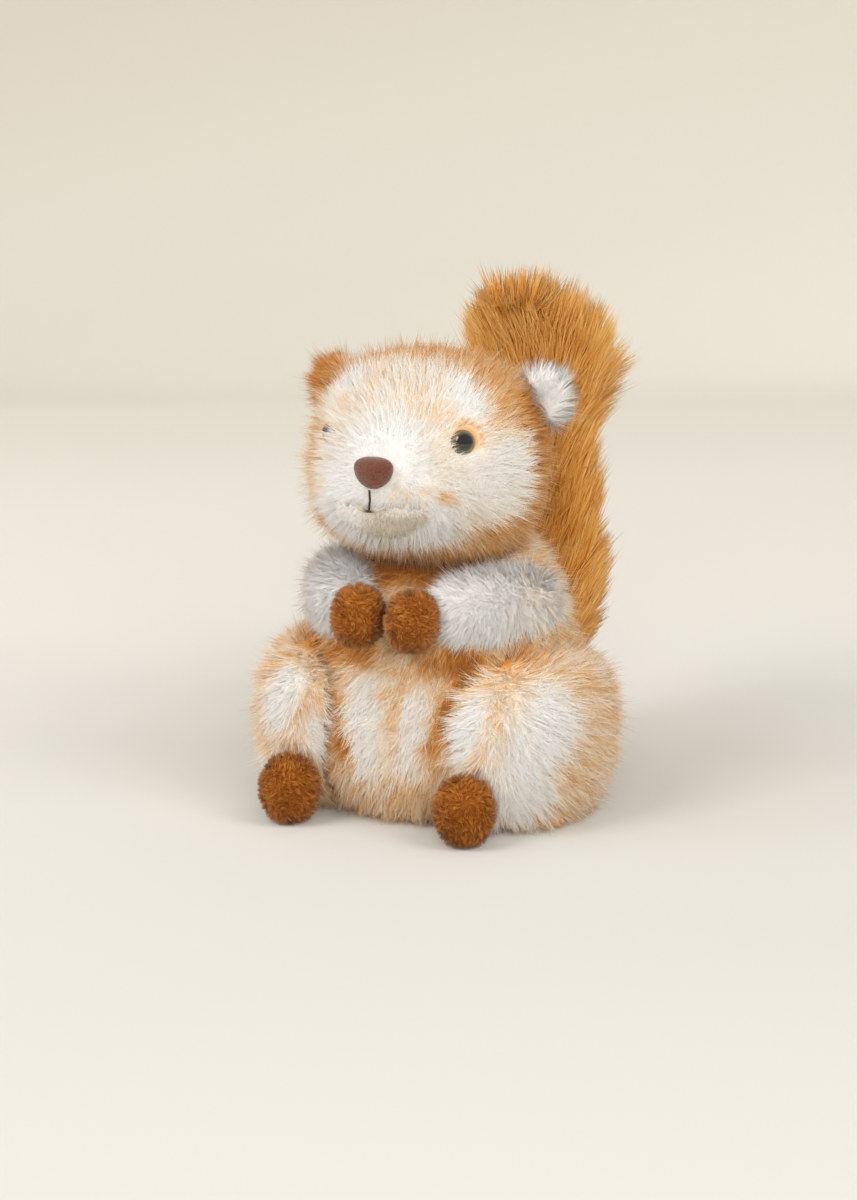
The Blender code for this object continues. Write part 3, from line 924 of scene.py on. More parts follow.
class Growth:
    """Strands of one pile on one skin."""

    def __init__(self, pile: Pile, roots: np.ndarray, normals: np.ndarray, random: np.random.Generator) -> None:
        """Keeps where the strands stand.

        Args:
            pile: How the pile grows.
            roots: The root of each strand.
            normals: The skin's outward direction at each root.
            random: The piece's own random numbers.
        """
        self.pile = pile
        self.roots = roots
        self.normals = normals
        self.random = random
        self.leaders = self.nearest_leader(pile.tuft)

    def nearest_leader(self, size: int) -> np.ndarray:
        """The index of the strand that leads each strand's tuft.

        Args:
            size: How many strands a tuft has on average.

        Returns:
            One index for each strand.
        """
        count = len(self.roots)
        chosen = self.random.permutation(count)[: max(1, count // size)]
        tree = KDTree(len(chosen))
        for index in chosen:
            tree.insert(Vector(self.roots[index]), int(index))
        tree.balance()
        return np.array([tree.find(Vector(root))[1] for root in self.roots])

    def lines(self, combed: np.ndarray, lengths: np.ndarray, leans: np.ndarray) -> np.ndarray:
        """The middle line of every strand.

        Args:
            combed: The direction in which the pile is combed at each root, along the skin.
            lengths: The length of each strand.
            leans: The share of the pile's lean at each root.

        Returns:
            The points of each line, as strands by levels by 3.
        """
        pile = self.pile
        count = len(self.roots)
        wild = self.random.normal(size=(count, 3))
        wild -= self.normals * np.sum(wild * self.normals, axis=1, keepdims=True)
        combed = unit(combed + pile.wander * wild[self.leaders] + pile.stray * wild)
        first = math.radians(pile.root_lean) * leans[:, None]
        last = math.radians(pile.lean) * leans[:, None]
        start = self.normals * np.cos(first) + combed * np.sin(first)
        end = self.normals * np.cos(last) + combed * np.sin(last)
        share = pile.strand.places[None, :, None]
        base = self.roots - self.normals * pile.sink
        bend = start[:, None, :] * (share - share**2 / 2) + end[:, None, :] * share**2 / 2
        lines = base[:, None, :] + lengths[:, None, None] * bend
        pull = pile.draw * share**1.5 * self.random.uniform(0.5, 1.0, size=(count, 1, 1))
        lines = lines + (lines[self.leaders] - lines) * pull
        if pile.lock:
            lines = lines + (lines[self.nearest_leader(pile.lock)] - lines) * pile.lock_draw * share**1.5
        lines[:, :, 2] = np.maximum(lines[:, :, 2], FLOOR_CLEARANCE)
        return lines

    def tones(self, tones: np.ndarray) -> np.ndarray:
        """Breaks a smooth pattern of tones into streaks, tuft by tuft and strand by strand."""
        own = self.random.uniform(-1.0, 1.0, len(tones))
        tuft = self.random.uniform(-1.0, 1.0, len(tones))[self.leaders]
        open_range = np.clip(4.0 * tones * (1.0 - tones), 0.12, 1.0)
        return np.clip(tones + self.pile.streak * open_range * (0.45 * tuft + 0.55 * own), 0.02, 0.98)

    def mesh(self, name: str, lines: np.ndarray, tones: np.ndarray) -> bpy.types.Mesh:
        """Sets a strand along every line.

        Args:
            name: The mesh's name.
            lines: The points of each line.
            tones: The tone of each strand.

        Returns:
            The mesh of all strands, with its map and its softened normals.
        """
        pile = self.pile
        template = StrandTemplate(pile.strand)
        count = len(lines)
        along = unit(np.gradient(lines, axis=1))
        first = unit(np.cross(self.normals[:, None, :], along) + 1e-6)
        second = np.cross(along, first)
        widths = pile.strand.widths[template.level] * pile.thickness
        thick = self.random.uniform(0.7, 1.3, size=(count, 1, 1))
        level, side = template.level, template.side
        radial = first[:, level] * side[None, :, :1] + second[:, level] * side[None, :, 1:]
        places = lines[:, level] + radial * widths[None, :, None] * thick
        places[:, :, 2] = np.maximum(places[:, :, 2], FLOOR_CLEARANCE / 2)
        normals = unit(radial * (1.0 - pile.softness) + self.normals[:, None, :] * pile.softness)

        size = len(level)
        loops = np.concatenate([np.array(face) for face in template.faces])
        totals = np.array([len(face) for face in template.faces])
        starts = np.concatenate([[0], np.cumsum(totals)[:-1]])
        offsets = np.arange(count)[:, None]
        mesh = bpy.data.meshes.new(name)
        mesh.vertices.add(count * size)
        mesh.vertices.foreach_set("co", places.astype(np.float32).ravel())
        mesh.loops.add(count * len(loops))
        mesh.loops.foreach_set("vertex_index", (loops[None, :] + offsets * size).astype(np.int32).ravel())
        mesh.polygons.add(count * len(totals))
        mesh.polygons.foreach_set("loop_start", (starts[None, :] + offsets * len(loops)).astype(np.int32).ravel())
        across = tones[:, None] + MAP_HALF_WIDTH * side[None, :, 0]
        up = MAP_MARGIN + (1.0 - 2.0 * MAP_MARGIN) * pile.strand.places[level] + MAP_HALF_WIDTH * side[:, 1]
        places_on_map = np.stack([across, np.broadcast_to(up, across.shape)], axis=-1)[:, loops]
        layer = mesh.uv_layers.new(name=BAKE_MAP)
        layer.data.foreach_set("uv", places_on_map.astype(np.float32).ravel())
        mesh.update(calc_edges=True)
        mesh.validate()
        mesh.shade_smooth()
        mesh.normals_split_custom_set_from_vertices(normals.reshape(-1, 3).tolist())
        return mesh


# Sewn pieces


@dataclass
class SewnPiece:
    """One stuffed piece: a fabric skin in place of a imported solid, and the pile that grows from it."""

    solids: Solids
    node: str
    slot: Slot
    dye: Dye
    pattern: Pattern
    pile: Pile
    voxel: float = 4.0 * MM
    inset: float = 5.0 * MM
    floor_inset: float = 1.0 * MM
    puff: float = 1.5 * MM
    fill: float = 0.7
    evened: int = 2
    # Factor on the skin's colour for the painted shade of the pile over it.
    ground_shade_factor: float = 0.80
    sewn_to: tuple = ()
    seed: int = 1

    CLOTH_FRAMES = 20
    PRESSURE = 4.0
    SEAM_INSET = 0.8 * MM
    SEAM_REACH = 7.0 * MM
    COVER = 1.5 * MM
    DRAWN_IN_ROUNDS = 3

    def insets(self, places: np.ndarray) -> np.ndarray:
        """How deep the skin lies under the tips of the pile at each place, less along its seams."""
        gap = self.solids.distance(places, self.sewn_to, self.SEAM_REACH)
        share = smooth_step(1.0 * MM, self.SEAM_REACH, gap)
        return self.SEAM_INSET + (self.inset - self.SEAM_INSET) * share

    def leans(self, roots: np.ndarray, normals: np.ndarray) -> np.ndarray:
        """The share of the pile's lean at each root."""
        return np.ones(len(roots))

    def comb(self, roots: np.ndarray, normals: np.ndarray) -> np.ndarray:
        """The direction in which the pile is combed at each root."""
        return np.tile((0.0, 0.0, -1.0), (len(roots), 1))

    def lengths(self, roots: np.ndarray) -> np.ndarray:
        """The share of the full length at each root."""
        return np.ones(len(roots))

    def density(self, roots: np.ndarray) -> np.ndarray:
        """How densely the strands stand at each root, as a share of the full density."""
        return np.ones(len(roots))

    def kept(self, roots: np.ndarray, normals: np.ndarray) -> np.ndarray:
        """Which roots carry a strand: those that no other piece covers."""
        depth = self.insets(roots) + self.COVER
        return ~self.solids.covered(roots + normals * depth[:, None], self.node)

    def skin(self) -> bpy.types.Object:
        """Makes the fabric skin: the solid remeshed, drawn in under its pile, puffed and smoothed."""
        material = SkinFinish(self.dye, self.ground_shade_factor).build(f"{self.node}_ground")
        skin = to_object(f"{self.node}_skin", self.solids[self.node].shape(), material)
        even_grid(skin, self.voxel)
        smooth_mesh(skin.data, self.evened)
        places = points_of(skin.data)
        normals = points_of(skin.data, "normal")
        depth = self.insets(places)
        under = smooth_step(0.5, 0.85, -normals[:, 2]) * (1.0 - smooth_step(2 * MM, 6 * MM, places[:, 2]))
        depth += (self.floor_inset - depth) * under
        place_points(skin.data, places - normals * depth[:, None])
        smooth_mesh(skin.data, self.DRAWN_IN_ROUNDS)
        self.stuff(skin)
        subdivide(skin)
        places = points_of(skin.data)
        places[:, 2] = np.maximum(places[:, 2], FLOOR_CLEARANCE)
        place_points(skin.data, places)
        write_tone(skin.data, self.pattern.tones(places))
        skin.data.shade_smooth()
        return skin

    def stuff(self, skin: bpy.types.Object) -> None:
        """Swells the skin with a short pressure simulation and caps how far each point moves.

        Args:
            skin: The skin's object.
        """
        before = points_of(skin.data)
        cloth = skin.modifiers.new("stuffing", "CLOTH")
        cloth.settings.use_pressure = True
        cloth.settings.uniform_pressure_force = self.PRESSURE
        cloth.settings.effector_weights.gravity = 0.0
        scene = bpy.context.scene
        for frame in range(1, self.CLOTH_FRAMES + 1):
            scene.frame_set(frame)
        graph = bpy.context.evaluated_depsgraph_get()
        after = points_of(skin.evaluated_get(graph).data)
        skin.modifiers.remove(cloth)
        scene.frame_set(1)
        moved = after - before
        length = np.linalg.norm(moved, axis=1, keepdims=True)
        moved *= np.minimum(1.0, self.puff / np.maximum(length, 1e-9))
        place_points(skin.data, before + moved)

    def sample(self, mesh: bpy.types.Mesh, random: np.random.Generator) -> tuple[np.ndarray, np.ndarray]:
        """Picks the strands' roots evenly over the skin.

        Args:
            mesh: The skin's mesh.
            random: The piece's own random numbers.

        Returns:
            The roots and the skin's outward directions there.
        """
        mesh.calc_loop_triangles()
        corners = np.zeros(len(mesh.loop_triangles) * 3, np.int32)
        mesh.loop_triangles.foreach_get("vertices", corners)
        corners = corners.reshape(-1, 3)
        places = points_of(mesh)
        normals = points_of(mesh, "normal")
        a, b, c = (places[corners[:, index]] for index in range(3))
        areas = np.linalg.norm(np.cross(b - a, c - a), axis=1)
        wanted = self.pile.strands
        roots, outward = [], []
        found = 0
        while found < wanted:
            chosen = random.choice(len(corners), size=wanted, p=areas / areas.sum())
            first, second = np.sqrt(random.random(wanted)), random.random(wanted)
            weights = np.stack([1.0 - first, first * (1.0 - second), first * second], axis=1)[:, :, None]
            picked = (places[corners[chosen]] * weights).sum(1)
            facing = unit((normals[corners[chosen]] * weights).sum(1))
            kept = self.kept(picked, facing) & (random.random(wanted) < self.density(picked))
            roots.append(picked[kept])
            outward.append(facing[kept])
            found += int(kept.sum())
            if not kept.any():
                break
        return np.concatenate(roots)[:wanted], np.concatenate(outward)[:wanted]

    def fur(self, skin: bpy.types.Object) -> bpy.types.Object:
        """Grows the pile from the skin.

        Args:
            skin: The skin's object.

        Returns:
            The pile's object.
        """
        random = np.random.default_rng(self.seed)
        roots, normals = self.sample(skin.data, random)
        growth = Growth(self.pile, roots, normals, random)
        combed = self.comb(roots, normals)
        combed = combed - normals * np.sum(combed * normals, axis=1, keepdims=True)
        lengths = self.pile.length * self.lengths(roots)
        lengths *= 1.0 + self.pile.uneven * random.uniform(-1.0, 1.0, len(roots))
        lengths *= 1.0 + self.pile.tuft_uneven * random.uniform(-1.0, 1.0, len(roots))[growth.leaders]
        leans = self.leans(roots, normals)
        loose = random.random(len(roots)) < self.pile.wisps
        lengths[loose] *= self.pile.wisp_length
        leans[loose] *= self.pile.wisp_lean
        lines = growth.lines(unit(combed), lengths, leans)
        tones = growth.tones(self.pattern.tones(roots))
        mesh = growth.mesh(f"{self.node}_pile", lines, tones)
        mesh.materials.append(PileFinish(self.dye).build(f"{self.node}_fibre"))
        return to_scene(mesh.name, mesh)

    def build(self) -> None:
        """Makes the skin and its pile and hangs both on the squirrel."""
        skin = self.skin()
        fur = self.fur(skin)
        seat(skin, self.slot, self.node)
        seat(fur, self.slot)


FACE_PIECES = ("nose", "chin_patch")
EYE_PIECES = ("left_eye", "right_eye")


def mouth_distance(roots: np.ndarray) -> np.ndarray:
    """How far roots lie from the stitched line that runs down from the nose.

    Args:
        roots: One root in each row.

    Returns:
        One distance for each root.
    """
    top, foot = np.array((MOUTH_LINE, -50 * MM, 126 * MM)), np.array((MOUTH_LINE, -52 * MM, 117 * MM))
    return np.linalg.norm(from_path(roots, top, foot), axis=1)


@dataclass
class Head(SewnPiece):
    """The head: pile that runs away from the nose, short on the muzzle, with bare places for the trim."""

    def gap(self, places: np.ndarray, reach: float, *names: str) -> np.ndarray:
        """The distance to the nearest of some solids, up to a reach in millimetres."""
        return self.solids.distance(places, names, reach * MM)

    def insets(self, places: np.ndarray) -> np.ndarray:
        """Shallow round the trim and along the seams, and full elsewhere."""
        trim = self.gap(places, 16, *FACE_PIECES)
        eyes = self.gap(places, 10, *EYE_PIECES)
        share = np.minimum(smooth_step(0.5 * MM, 15 * MM, trim), smooth_step(0.5 * MM, 9 * MM, eyes))
        shallow = self.SEAM_INSET + (self.inset - self.SEAM_INSET) * share
        return np.minimum(shallow, super().insets(places))

    def comb(self, roots: np.ndarray, normals: np.ndarray) -> np.ndarray:
        """Away from the nose, up on the brow and down at the back."""
        away = unit(roots - self.solids["nose"].centre)
        up = smooth_step(148 * MM, 160 * MM, roots[:, 2]) * (1.0 - smooth_step(-20 * MM, 0.0, roots[:, 1]))
        down = smooth_step(-5 * MM, 20 * MM, roots[:, 1])
        away[:, 2] += 0.5 * up - 0.8 * down
        return away

    def leans(self, roots: np.ndarray, normals: np.ndarray) -> np.ndarray:
        """More upright between the nose and the right eye, and where the pile falls over the chin panel's edge."""
        right = self.gap(roots, 10, "right_eye")
        chin = self.gap(roots, 10, "chin_patch")
        over_eye = 0.7 * (1.0 - smooth_step(1 * MM, 9 * MM, right)) * smooth_step(-23 * MM, -18 * MM, roots[:, 0])
        over_chin = 0.50 * (1.0 - smooth_step(2 * MM, 7 * MM, chin))
        return 1.0 - np.maximum(over_eye, over_chin)

    def density(self, roots: np.ndarray) -> np.ndarray:
        """Full on the face and half at the back."""
        return 1.0 - 0.5 * smooth_step(-8 * MM, 14 * MM, roots[:, 1])

    def lengths(self, roots: np.ndarray) -> np.ndarray:
        """Short near the nose, chin and eyes, and long between the nose and the right eye."""
        nose = self.gap(roots, 26, "nose")
        chin = self.gap(roots, 26, "chin_patch")
        left = self.gap(roots, 12, "left_eye")
        right = self.gap(roots, 12, "right_eye")
        mouth = mouth_distance(roots)
        near_nose = 0.42 + 0.58 * smooth_step(2 * MM, 10 * MM, nose)
        near_chin = 0.95 + 0.05 * smooth_step(2 * MM, 12 * MM, chin)
        near_mouth = 0.26 + 0.74 * smooth_step(1.2 * MM, 6 * MM, mouth)
        near_left = 0.58 + 0.42 * smooth_step(1 * MM, 10 * MM, left)
        inner = smooth_step(-23 * MM, -18 * MM, roots[:, 0])
        near_right = 1.0 + (1.25 * inner - 0.42) * (1.0 - smooth_step(1 * MM, 9 * MM, right))
        return np.minimum.reduce((near_nose, near_chin, near_mouth, near_left)) * near_right

    def kept(self, roots: np.ndarray, normals: np.ndarray) -> np.ndarray:
        """Leaves the seats of the nose, the chin panel and the eyes bare."""
        free = super().kept(roots, normals)
        free &= self.gap(roots, 2, *FACE_PIECES) > 1.2 * MM
        free &= self.gap(roots, 2, *EYE_PIECES) > 1.0 * MM
        return free


@dataclass
class Torso(SewnPiece):
    """The body: pile that runs down the front and outwards at the sides."""

    def comb(self, roots: np.ndarray, normals: np.ndarray) -> np.ndarray:
        """Down, with a turn outwards and to the back."""
        out = np.stack([roots[:, 0] * 6.0, roots[:, 1] * 6.0, np.full(len(roots), -0.7)], axis=1)
        return unit(out)

    def density(self, roots: np.ndarray) -> np.ndarray:
        """Full in front and less at the back."""
        return 1.0 - 0.4 * smooth_step(0.0, 20 * MM, roots[:, 1])


@dataclass
class Arm(SewnPiece):
    """A sleeve: pile that runs from the shoulder to the wrist and a little down."""

    side: Side = Side.LEFT

    def comb(self, roots: np.ndarray, normals: np.ndarray) -> np.ndarray:
        """Towards the paw and down."""
        paw = self.solids[f"{self.side.label}_paw"].centre
        return unit(unit(paw - roots) * 0.7 + np.array((0.0, 0.0, -0.6)))


@dataclass
class Leg(SewnPiece):
    """A haunch: pile that falls to both sides of a parting down its front."""

    side: Side = Side.LEFT
    parting: tuple = ((44 * MM, -36 * MM, 62 * MM), (45 * MM, -48 * MM, 26 * MM))

    def comb(self, roots: np.ndarray, normals: np.ndarray) -> np.ndarray:
        """Away from the parting and down."""
        mirror = np.array((self.side.value, 1.0, 1.0))
        top, foot = (np.array(end) * mirror for end in self.parting)
        gap = from_path(roots, top, foot)
        gap[:, 2] = np.minimum(gap[:, 2], 0.0)
        far = smooth_step(1 * MM, 18 * MM, np.linalg.norm(gap, axis=1))[:, None]
        return unit(gap) * far * 0.8 + np.array((0.0, 0.0, -1.0)) * (1.0 - 0.5 * far)


@dataclass
class Ear(SewnPiece):
    """An ear: pile that runs to its tip, white in front and orange behind."""

    side: Side = Side.LEFT

    def comb(self, roots: np.ndarray, normals: np.ndarray) -> np.ndarray:
        """Up and out along the ear."""
        return np.tile((self.side.value * 0.7, 0.0, 0.7), (len(roots), 1))


@dataclass
class Ball(SewnPiece):
    """A paw or foot: dense short pile that stands up in small whorls."""

    def comb(self, roots: np.ndarray, normals: np.ndarray) -> np.ndarray:
        """Slow whorls over the surface."""
        return np.array([noise.noise_vector(Vector(root) * 160.0) for root in roots]) + 1e-4


@dataclass
class Tail(SewnPiece):
    """The brush: very long pile that sweeps up and outwards, upright at its crown."""

    def insets(self, places: np.ndarray) -> np.ndarray:
        """Deeper under the crown, where the pile stands straight up."""
        return super().insets(places) + 6.0 * MM * smooth_step(168 * MM, 184 * MM, places[:, 2])

    def comb(self, roots: np.ndarray, normals: np.ndarray) -> np.ndarray:
        """Up, with a little to the back."""
        return np.tile((0.0, 0.15, 1.0), (len(roots), 1))

    def leans(self, roots: np.ndarray, normals: np.ndarray) -> np.ndarray:
        """Close to the skin in front, looser at the back, and upright on the crown."""
        loose = smooth_step(-0.5, 0.7, normals[:, 1])
        crown = smooth_step(0.1, 0.9, normals[:, 2])
        return (1.0 - 0.26 * loose) * (1.0 - 0.8 * crown)

    def lengths(self, roots: np.ndarray) -> np.ndarray:
        """Shorter towards the foot and on the crown."""
        rise = smooth_step(20 * MM, 110 * MM, roots[:, 2])
        crown = smooth_step(158 * MM, 174 * MM, roots[:, 2])
        return 0.62 + 0.38 * rise - 0.14 * crown


@dataclass
class Chin(SewnPiece):
    """The chin panel: very short smooth pile that lies down and away from the nose."""

    SEAM_INSET = 0.2 * MM

    def comb(self, roots: np.ndarray, normals: np.ndarray) -> np.ndarray:
        """Away from the nose."""
        return unit(roots - self.solids["nose"].centre)

    def lengths(self, roots: np.ndarray) -> np.ndarray:
        """Shorter beside the stitched mouth."""
        return 0.4 + 0.6 * smooth_step(1 * MM, 5 * MM, mouth_distance(roots))


# Patterns of the pieces, in millimetres

HEAD_PATTERN = Pattern(
    0.66,
    (
        Mark(0.24, 24.0, ((0, -48, 135), (36, -30, 128))),
        Mark(0.26, 14.0, ((0, -36, 160), (14, -31, 161))),
        Mark(0.02, 15.0, ((0, -52, 142), (8, -50, 125))),
        Mark(0.02, 12.0, ((0, -50, 112), (18, -46, 112))),
        Mark(0.14, 13.0, ((34, -34, 129), (38, -26, 130))),
        Mark(0.68, 9.0, ((0, -8, 171), (25, -10, 167))),
        Mark(0.00, 7.5, ((23, -30, 161), (27, -31, 155))),
        Mark(0.78, 4.0, ((20, -14, 168), (30, -20, 161), (35, -23, 155))),
        Mark(0.74, 4.0, ((34, -12, 160), (36, -20, 156))),
        Mark(0.88, 5.6, ((0, -37, 98), (19, -31, 97), (32, -16, 98), (36, 5, 99))),
        Mark(0.84, 8.5, ((43, -9, 112), (45, -7, 129), (44, -8, 142), (40, -9, 153))),
        Mark(0.72, 7.0, ((31, -31, 106), (40, -21, 108), (43, -10, 112))),
        # Orange line in the cheek's crease by the chin panel: partly orange pile and partly painted shade of the
        # crease.
        Mark(0.48, 2.6, ((22, -44, 126), (23, -43, 122))),
        Mark(0.24, 4.5, ((8, -50, 123), (17, -47, 124)), mirrored=False),
        # A darker ring of short pile round each eye: painted shade of the eye's hollow.
        Mark(0.66, 5.2, ((24, -33, 142), (25, -32, 142))),
        # Orange-brown hairs behind each eye, partly painted shadow.
        Mark(0.62, 2.6, ((31, -33, 142), (36, -28, 141))),
        Mark(0.56, 9.0, ((-39, -29, 140), (-36, -35, 124)), mirrored=False),
    ),
)
TORSO_PATTERN = Pattern(
    0.48,
    (
        Mark(0.12, 10.0, ((-12, -42, 52), (-9, -46, 26)), mirrored=False),
        Mark(0.12, 8.0, ((10, -42, 50), (9, -46, 26)), mirrored=False),
        Mark(0.90, 2.6, ((-1, -40, 64), (1, -43, 47), (3, -47, 31)), mirrored=False),
        Mark(0.96, 4.2, ((-29, -38, 58), (-22, -41, 38), (-14, -46, 14)), mirrored=False),
        Mark(0.96, 4.4, ((26, -34, 60), (21, -40, 43), (14, -45, 26)), mirrored=False),
        Mark(0.86, 9.0, ((0, -22, 96), (10, -20, 92))),
        # Deep orange on the body just under the arms: partly the pile's own orange and partly painted shade under
        # the arms.
        Mark(0.92, 6.0, ((12, -38, 64), (30, -32, 63))),
        Mark(0.84, 5.0, ((0, -45, 4), (14, -44, 5))),
    ),
    ragged=1.6,
)
LEG_PATTERN = Pattern(
    0.44,
    (
        Mark(0.06, 14.0, ((60, -31, 46), (55, -42, 29)), mirrored=False),
        Mark(0.10, 10.0, ((56, -35, 14), (46, -40, 12))),
        Mark(0.00, 8.0, ((35, -46, 51), (29, -48, 33)), mirrored=False),
        Mark(0.86, 2.6, ((44, -38, 60), (46, -47, 46), (45, -49, 32)), mirrored=False),
        Mark(0.06, 9.0, ((-42, -44, 52), (-46, -46, 40)), mirrored=False),
        Mark(0.04, 7.0, ((-28, -46, 36), (-24, -46, 18)), mirrored=False),
        Mark(0.86, 2.8, ((-32, -40, 57), (-34, -46, 48), (-38, -50, 39)), mirrored=False),
        Mark(0.42, 7.0, ((64, 6, 57), (69, -1, 45), (69, -5, 31))),
        Mark(0.80, 4.6, ((68, -14, 29), (65, -21, 20), (62, -26, 12))),
        # Deep orange along the haunch's top, under the arm: painted shadow of the arm on the pile.
        Mark(0.95, 7.0, ((30, -32, 65), (44, -27, 67), (52, -14, 68))),
        Mark(1.00, 3.0, ((50, -34, 3), (58, -26, 4)), mirrored=False),
    ),
    ragged=1.8,
)
ARM_PATTERN = Pattern(
    0.04,
    (
        Mark(0.20, 14.0, ((50, -12, 80), (42, 4, 84))),
        # Deep orange along the arm's underside, where it meets the body: partly the pile's own orange and partly
        # painted shade of the crease.
        Mark(0.94, 6.0, ((18, -36, 64), (36, -26, 64), (48, -10, 66))),
    ),
)
EAR_PATTERN = Pattern(
    0.05,
    (
        Mark(0.78, 6.0, ((36, 10, 148), (46, 10, 156), (52, 6, 152))),
        Mark(0.30, 3.0, ((41, -3, 149), (42, -3, 146))),
        Mark(0.80, 8.0, ((-42, -4, 160), (-50, 0, 152), (-48, 2, 144)), mirrored=False),
    ),
)
TAIL_PATTERN = Pattern(
    0.34,
    (
        # The next two marks darken the brush where it lies against the body and behind the head: painted shade.
        Mark(1.00, 17.0, ((18, 46, 142), (24, 44, 110), (26, 46, 70))),
        Mark(0.70, 10.0, ((0, 44, 150), (0, 44, 60))),
        # Pale golden tips on the brush's outer edge, made paler still as painted light.
        Mark(0.04, 11.0, ((34, 72, 184), (35, 86, 160), (30, 102, 134), (28, 98, 104))),
        Mark(0.12, 9.0, ((-4, 60, 193), (12, 62, 195), (26, 70, 190))),
    ),
)
CHIN_PATTERN = Pattern(
    0.46,
    (
        Mark(0.00, 8.0, ((-20, -46, 116), (-11, -50, 117)), mirrored=False),
        Mark(0.06, 3.4, ((-6, -52, 120), (8, -51, 120), (16, -48, 121)), mirrored=False),
    ),
    ragged=1.0,
)
PAW_PATTERN = Pattern(0.42)
FOOT_PATTERN = Pattern(0.45)

HEAD_PILE = Pile(46000, 7.6 * MM, 0.13 * MM, lean=60, root_lean=34, tuft=7, draw=0.2, wisps=0.13)
TORSO_PILE = Pile(30000, 8.4 * MM, 0.14 * MM, lean=58, root_lean=32, tuft=8, draw=0.22, streak=0.34)
LEG_PILE = Pile(18500, 8.2 * MM, 0.14 * MM, lean=60, root_lean=34, tuft=8, draw=0.22)
ARM_PILE = Pile(11800, 7.4 * MM, 0.13 * MM, lean=58, root_lean=32, tuft=7, draw=0.16, softness=1.0)
EAR_PILE = Pile(4500, 8.2 * MM, 0.13 * MM, lean=48, root_lean=22, tuft=7, draw=0.1, softness=1.0)
CHIN_PILE = Pile(
    3900, 2.4 * MM, 0.12 * MM, lean=66, root_lean=40, tuft=6, draw=0.2, sink=0.3 * MM, streak=0.3, wisps=0.02,
)
BALL_PILE = Pile(
    5400, 2.7 * MM, 0.20 * MM, lean=45, root_lean=25, tuft=8, draw=0.5, uneven=0.2, tuft_uneven=0.1, sink=0.4 * MM,
    wander=0.5, softness=0.7, streak=0.45, wisps=0.0,
)
TAIL_PILE = Pile(
    28000, 20.0 * MM, 0.17 * MM, lean=78, root_lean=52, strand=Strand.SWEPT, tuft=14, draw=0.3, lock=240,
    lock_draw=0.30, uneven=0.3, tuft_uneven=0.2, wander=0.16, stray=0.2, softness=0.45, streak=0.4, wisps=0.04,
    wisp_length=1.2, wisp_lean=0.85,
)


# Trim


@dataclass
class Eye:
    """A moulded eye: a smooth dome on a shank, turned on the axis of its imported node."""

    solids: Solids
    side: Side
    radius: float = 4.6 * MM
    dome: float = 3.8 * MM
    shank: float = 1.7 * MM
    steps: int = 14
    turns: int = 40

    def axis(self) -> tuple[Matrix, float]:
        """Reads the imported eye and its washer.

        Returns:
            The place and turn of the eye, with its origin on the dome's flat back, and its whole length.
        """
        name = f"{self.side.label}_eye"
        places = self.solids[name].corners()
        inner = self.solids[f"{name}_washer"].corners().mean(0)
        outward = unit(places.mean(0) - inner)
        along = (places - inner) @ outward
        origin = Vector(inner + outward * (along.max() - self.dome))
        turn = Vector(outward).to_track_quat("Z", "Y").to_matrix().to_4x4()
        return Matrix.Translation(origin) @ turn, float(along.max() - along.min())

    def build(self) -> None:
        """Turns the eye and lays its rings of colour."""
        frame, length = self.axis()
        back = self.dome - length
        quarter = math.pi / 2
        profile = [(0.0, back), (self.shank, back), (self.shank, 0.0)]
        for step in range(self.steps):
            angle = quarter * step / self.steps
            profile.append((self.radius * math.cos(angle), self.dome * math.sin(angle)))
        profile.append((0.0, self.dome))
        shape = bmesh.new()
        corners = [shape.verts.new((radius, 0.0, height)) for radius, height in profile]
        edges = [shape.edges.new(pair) for pair in zip(corners, corners[1:])]
        bmesh.ops.spin(
            shape, geom=corners + edges, cent=(0, 0, 0), axis=(0, 0, 1), angle=math.tau, steps=self.turns,
            use_merge=True,
        )
        bmesh.ops.remove_doubles(shape, verts=shape.verts, dist=1e-7)
        bmesh.ops.recalc_face_normals(shape, faces=shape.faces)
        rings = np.array([math.hypot(vertex.co.x, vertex.co.y) / self.radius for vertex in shape.verts])
        bmesh.ops.transform(shape, matrix=frame, verts=shape.verts)
        name = f"{self.side.label}_eye"
        eye = to_object(f"{name}_moulding", shape, EyeFinish().build(f"{name}_gloss"))
        write_tone(eye.data, rings)
        seat(eye, Slot.EYE, name)


@dataclass
class Nose:
    """The suede nose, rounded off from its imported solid."""

    solids: Solids
    voxel: float = 0.9 * MM
    evened: int = 3
    fill: float = 0.9

    def build(self) -> None:
        """Makes the nose."""
        nose = to_object("nose_cap", self.solids["nose"].shape(), SuedeFinish().build("nose_nap"))
        even_grid(nose, self.voxel)
        smooth_mesh(nose.data, self.evened)
        subdivide(nose)
        nose.data.shade_smooth()
        seat(nose, Slot.NOSE, "nose")


@dataclass
class Dressed:
    """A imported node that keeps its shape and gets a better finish."""

    frame: dict
    node: str
    finish: Finish

    def build(self) -> None:
        """Puts the finish on the node."""
        carried = self.frame["nodes"][self.node]
        material = self.finish.build(f"{self.node}_finish")
        if carried.data.materials:
            for index in range(len(carried.data.materials)):
                carried.data.materials[index] = material
        else:
            carried.data.materials.append(material)
        LOG.info("%s: dressed", self.node)


# Studio


